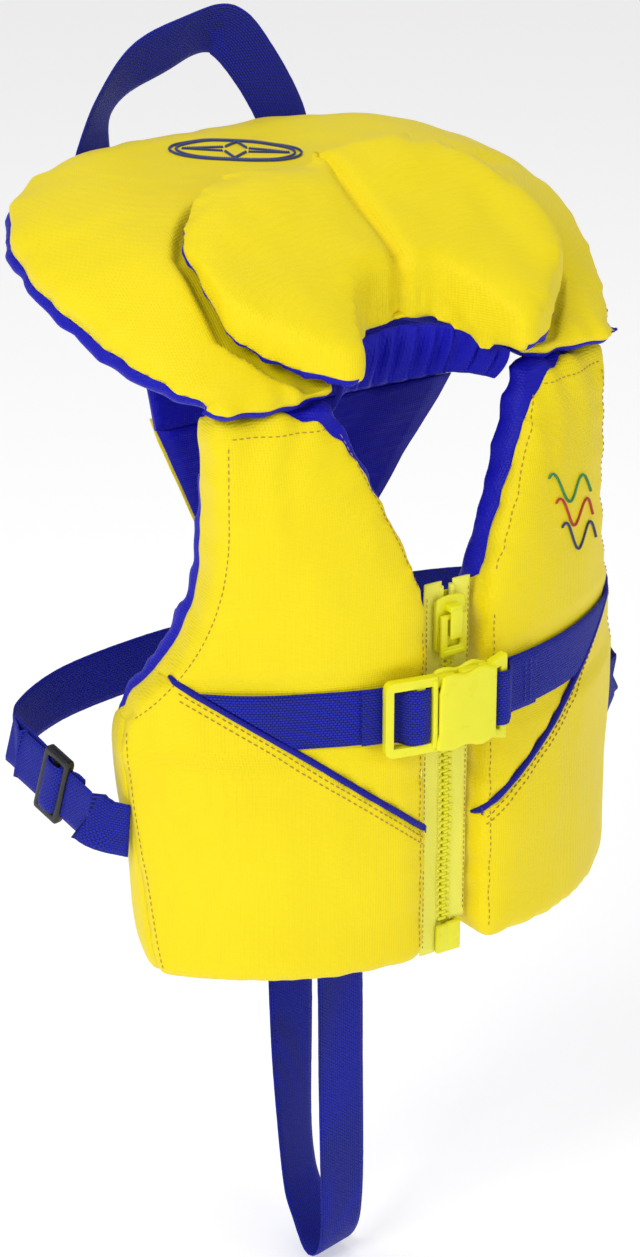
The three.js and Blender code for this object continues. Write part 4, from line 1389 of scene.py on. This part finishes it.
def tri_glide(side, sign, start, end):
    """A moulded three-bar slide, with the webbing that doubles back through it."""
    middle = start.lerp(end, 0.5)
    along = (end - start).normalized()
    out = along.cross(UPRIGHT).normalized()
    up = along.cross(out)
    up *= math.copysign(1, up.z)

    def place(points):
        """From the slide's own axes to the jacket's."""
        return mirrored([middle + along * x + out * y + up * z for x, y, z in points], sign)

    def rounded_ends(x, z):
        return (x * 0.9, z) if abs(z) > 16 else (x, z)

    glide = cell_plate(f"{side}_slide", [-8, -6.4, -4.9, -1.6, 1.6, 4.9, 6.4, 8],
                       [-17, -15, -13.2, 0, 13.2, 15, 17],
                       [(-4.9, -1.6, -13.2, 13.2), (1.6, 4.9, -13.2, 13.2)], -2.2, 2.2, 1.1, BLACK,
                       rounded_ends)
    set_coords(glide, place(coords(glide)))
    face_outwards(glide)
    finish_piece(glide, f"{side}_tri_glide", "tri_glide", f"{side}_tri_glide")
    hump = spline([(-15, -2.6, 0), (-10, -2.4, 0), (-6, 0.4, 0), (-3.4, 3.0, 0), (0, 3.7, 0),
                   (3.4, 3.0, 0), (6.5, 0.2, 0), (10, -2.2, 0), (26, -3.0, 0), (34, -3.0, 0)], 60)
    tail = web_strap(f"{side}_strap_tail", place(hump), mirrored([up], sign)[0])
    finish_piece(tail, f"{side}_tri_glide", "webbing")


# ---------------------------------------------------------------- crotch strap
def crotch_strap():
    """One long loop of webbing from the back panel's tip."""
    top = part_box("crotch_strap")[1].z / MM
    tip_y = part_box("back_panel_lining")[1].y / MM + 0.6
    knots = [(tip_y - 0.8, top), (tip_y - 1.6, top - 5), (38, -190), (16, -232), (6, -290),
             (4, -360), (3, -430), (8, -453), (18, -458), (30, -447), (41, -428), (46, -385),
             (49, -300), (tip_y + 1, top - 6), (tip_y + 0.8, top)]
    path = spline([(0, y, z) for y, z in knots], 190)

    def across(i):
        """The loop's foot twists a little, so the webbing lies skewed there."""
        share = i / (len(path) - 1)
        twist = 0.35 * math.exp(-((share - 0.56) / 0.10) ** 2)
        return Vector((math.cos(twist), math.sin(twist), 0.25 * math.sin(twist)))

    finish_piece(web_strap("crotch_webbing", path, across), "crotch_strap", "webbing",
                 "crotch_strap")


# ---------------------------------------------------------------- grab handle
def grab_handle():
    """The loop behind the head, turned edge-on where it bends."""
    low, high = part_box("grab_handle")
    y = (low.y + high.y) / 2 / MM
    knots = [(-52, 0, 52), (-50, 2, 66), (-43, 5, 84), (-28, 5, 99), (-6, 3, 109), (12, 3, 113),
             (22, 2, 109), (33, 1, 95), (43, 0, 78), (49, 0, 64), (50, 0, 52)]
    path = spline([(x, y + shift, z) for x, shift, z in knots], 110)

    def across(i):
        share = i / (len(path) - 1)
        rearwards = Vector((0, 1, 0))
        flat = tangent_at(path, i).cross(rearwards)
        edge_on = -0.66 * math.exp(-((share - 0.20) / 0.17) ** 2)
        edge_on -= 0.42 * math.exp(-((share - 0.52) / 0.12) ** 2)
        return flat * math.cos(edge_on) + rearwards * math.sin(edge_on)

    finish_piece(web_strap("handle_webbing", path, across), "grab_handle", "webbing",
                 "grab_handle")


# ------------------------------------------------------------- gathered neckband
def neckband():
    """The elasticated blue band that hangs from the pillow's lip round the neck."""
    lip = spline([(-42, -62, 8), (-37, -56, 12), (-29, -48, 16), (-17, -41, 18), (0, -37.5, 19),
                  (17, -41, 18), (29, -48, 16), (37, -56, 12), (42, -62, 8)], 160)
    rows = 9
    points, faces = [], []
    for i, p in enumerate(lip):
        for j in range(rows):
            down = j / (rows - 1)
            gather = math.sin(i * 0.46 + 2.2 * noise.noise(Vector((i / 9, 0, 5)))) * (
                0.5 + 1.6 * math.sin(math.pi * down))
            back = Vector((-p.x * 0.002, 1, 0)).normalized()
            drop = 28 - 13 * (abs(p.x) / 42) ** 2
            points.append(p + Vector((0, 0, -drop * down)) + back * (2 + 9 * down ** 1.4 + gather))
    for i in range(len(lip) - 1):
        for j in range(rows - 1):
            a = i * rows + j
            faces.append((a, a + 1, a + rows + 1, a + rows))
    obj = mesh_object("neck_band", points, faces, BLUE)
    subdivide(obj)
    apply_modifier(obj, "SOLIDIFY", thickness=0.8 * MM, offset=0)
    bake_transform(obj)


# ----------------------------------------------------------------------- stage
def stage():
    """A pale floor, an even white sky and three soft lamps."""
    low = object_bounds()[0].z
    bpy.ops.object.select_all(action="DESELECT")
    bpy.ops.mesh.primitive_plane_add(size=14, location=(0, 0, low - 0.004))
    floor = bpy.context.object
    floor.name = "floor"
    material, _, _ = new_material("pale_floor", (0.93, 0.93, 0.94), 0.9,
                                  Emission_Color=(1, 1, 1, 1), Emission_Strength=0.32)
    floor.data.materials.append(material)
    floor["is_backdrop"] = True
    world = bpy.data.worlds.new("studio")
    bpy.context.scene.world = world
    world.use_nodes = True
    background = world.node_tree.nodes["Background"]
    background.inputs["Color"].default_value = (1, 1, 1, 1)
    background.inputs["Strength"].default_value = 0.5
    for name, place, size, power in (("key", (-1.7, -0.7, 1.2), 0.8, 21),
                                     ("front", (0.4, -2.0, 0.7), 1.4, 6),
                                     ("top", (0.3, 0.4, 1.9), 1.2, 7)):
        data = bpy.data.lights.new(name, "AREA")
        data.size = size
        data.energy = power
        light = bpy.data.objects.new(name, data)
        light.location = place
        aim = Vector((0, 0.02, -0.1)) - Vector(place)
        light.rotation_euler = aim.to_track_quat("-Z", "Y").to_euler()
        bpy.context.scene.collection.objects.link(light)
    bpy.context.scene.view_settings.view_transform = "Standard"


# -------------------------------------------------------- seams and emblems
def panel_stitches():
    """Rows of gold stitches along the edges of the front halves."""
    inset = 6.5
    for side, sign in SIDES:
        shoulder = np.linspace(float(arc_of(NECK_X)) + 6, float(arc_of(SHOULDER_X)) - 6, 30)
        rows = (
            ("side_seam", False, [(float(arc_of(outer_edge(z))) - 6.0, z)
                                  for z in np.linspace(ARMPIT_Z - 3, HEM_Z + 6, 60)]),
            ("zip_edge", False, [(float(arc_of(CENTRE_X)) + inset, z)
                                 for z in np.linspace(V_POINT - 12, HEM_Z + 8, 80)]),
            ("armhole", True, [(float(arc_of(outer_edge(z))) - inset, z)
                               for z in np.linspace(SHOULDER_Z - 9, ARMPIT_Z + 1, 60)]),
            ("neckline", True, [(float(arc_of(inner_edge(z))) + 6.0, z)
                                for z in np.linspace(SHOULDER_Z - 9, V_POINT + 4, 50)]),
            ("shoulder", True, [(arc, SHOULDER_Z - 7) for arc in shoulder]))
        for name, high, places in rows:
            row = stitch_row(f"{side}_{name}_stitches", front_row(side, sign, places), 0.05,
                             GOLD_THREAD, None if high else f"{side}_front", thick=0.45)
            if high:
                follow_shoulder(row)


def on_collar_row(places):
    """Places on the collar's top under points in the air above it."""
    up = Vector((0, -math.sin(TILT), math.cos(TILT)))
    return lay_row("collar", [(Vector(p) + 90 * up, -up) for p in places])


def emblems():
    """A plain embroidered compass ring on the collar and three waves on the chest."""
    centre = Vector((-12, 72, 70))
    across = Vector((0.84, -0.545, 0.0)).normalized()
    along = Vector((0.545, 0.84, 0)).normalized()

    def on_ring(angle, wide, deep):
        return centre + across * wide * math.cos(angle) + along * deep * math.sin(angle)

    wide, deep = 29, 16
    lines = [(f"compass_{name}_ring", [on_ring(t, wide * scale, deep * scale)
                                       for t in np.linspace(0, 2 * math.pi, 120)])
             for scale, name in ((1.0, "outer"), (0.90, "inner"))]
    for k in range(4):
        turn = k * math.pi / 2
        tip = on_ring(turn, 24, 13)
        for lean in (-1, 1):
            waist = on_ring(turn + lean * math.pi / 4, 7, 4)
            lines.append((f"compass_point_{k}_{lean + 1}",
                          [waist.lerp(tip, t) for t in np.linspace(0, 1, 24)]))
    for name, places in lines:
        obj = stitch_row(name, on_collar_row(places), 0.15, INK_THREAD, pitch=1.0,
                         long=1.5, thick=1.2)
        follow_fold(obj)
    for k, (material, arc, z) in enumerate(((GREEN_THREAD, 50, -50), (RED_THREAD, 54, -62),
                                            (INK_THREAD, 58, -74))):
        places = [(arc + 34 * t, z - 8 * t + (7 - 2 * t) * math.sin(2 * math.pi * (t * 1.5 + 0.1)))
                  for t in np.linspace(0, 1, 60)]
        wave = stitch_row(f"chest_wave_{k}", front_row("left", 1, places), 0.1, material,
                          pitch=0.9, long=1.4, thick=1.2)
        follow_shoulder(wave)


place_camera()
for side, sign in SIDES:
    front_half(side, sign)
collar_piece()
pillow_piece()
neckband()
chest_belt()
buckle()
zip_fastener()
piping()
panel_stitches()
emblems()
back_panel()
side_straps()
crotch_strap()
grab_handle()
stage()
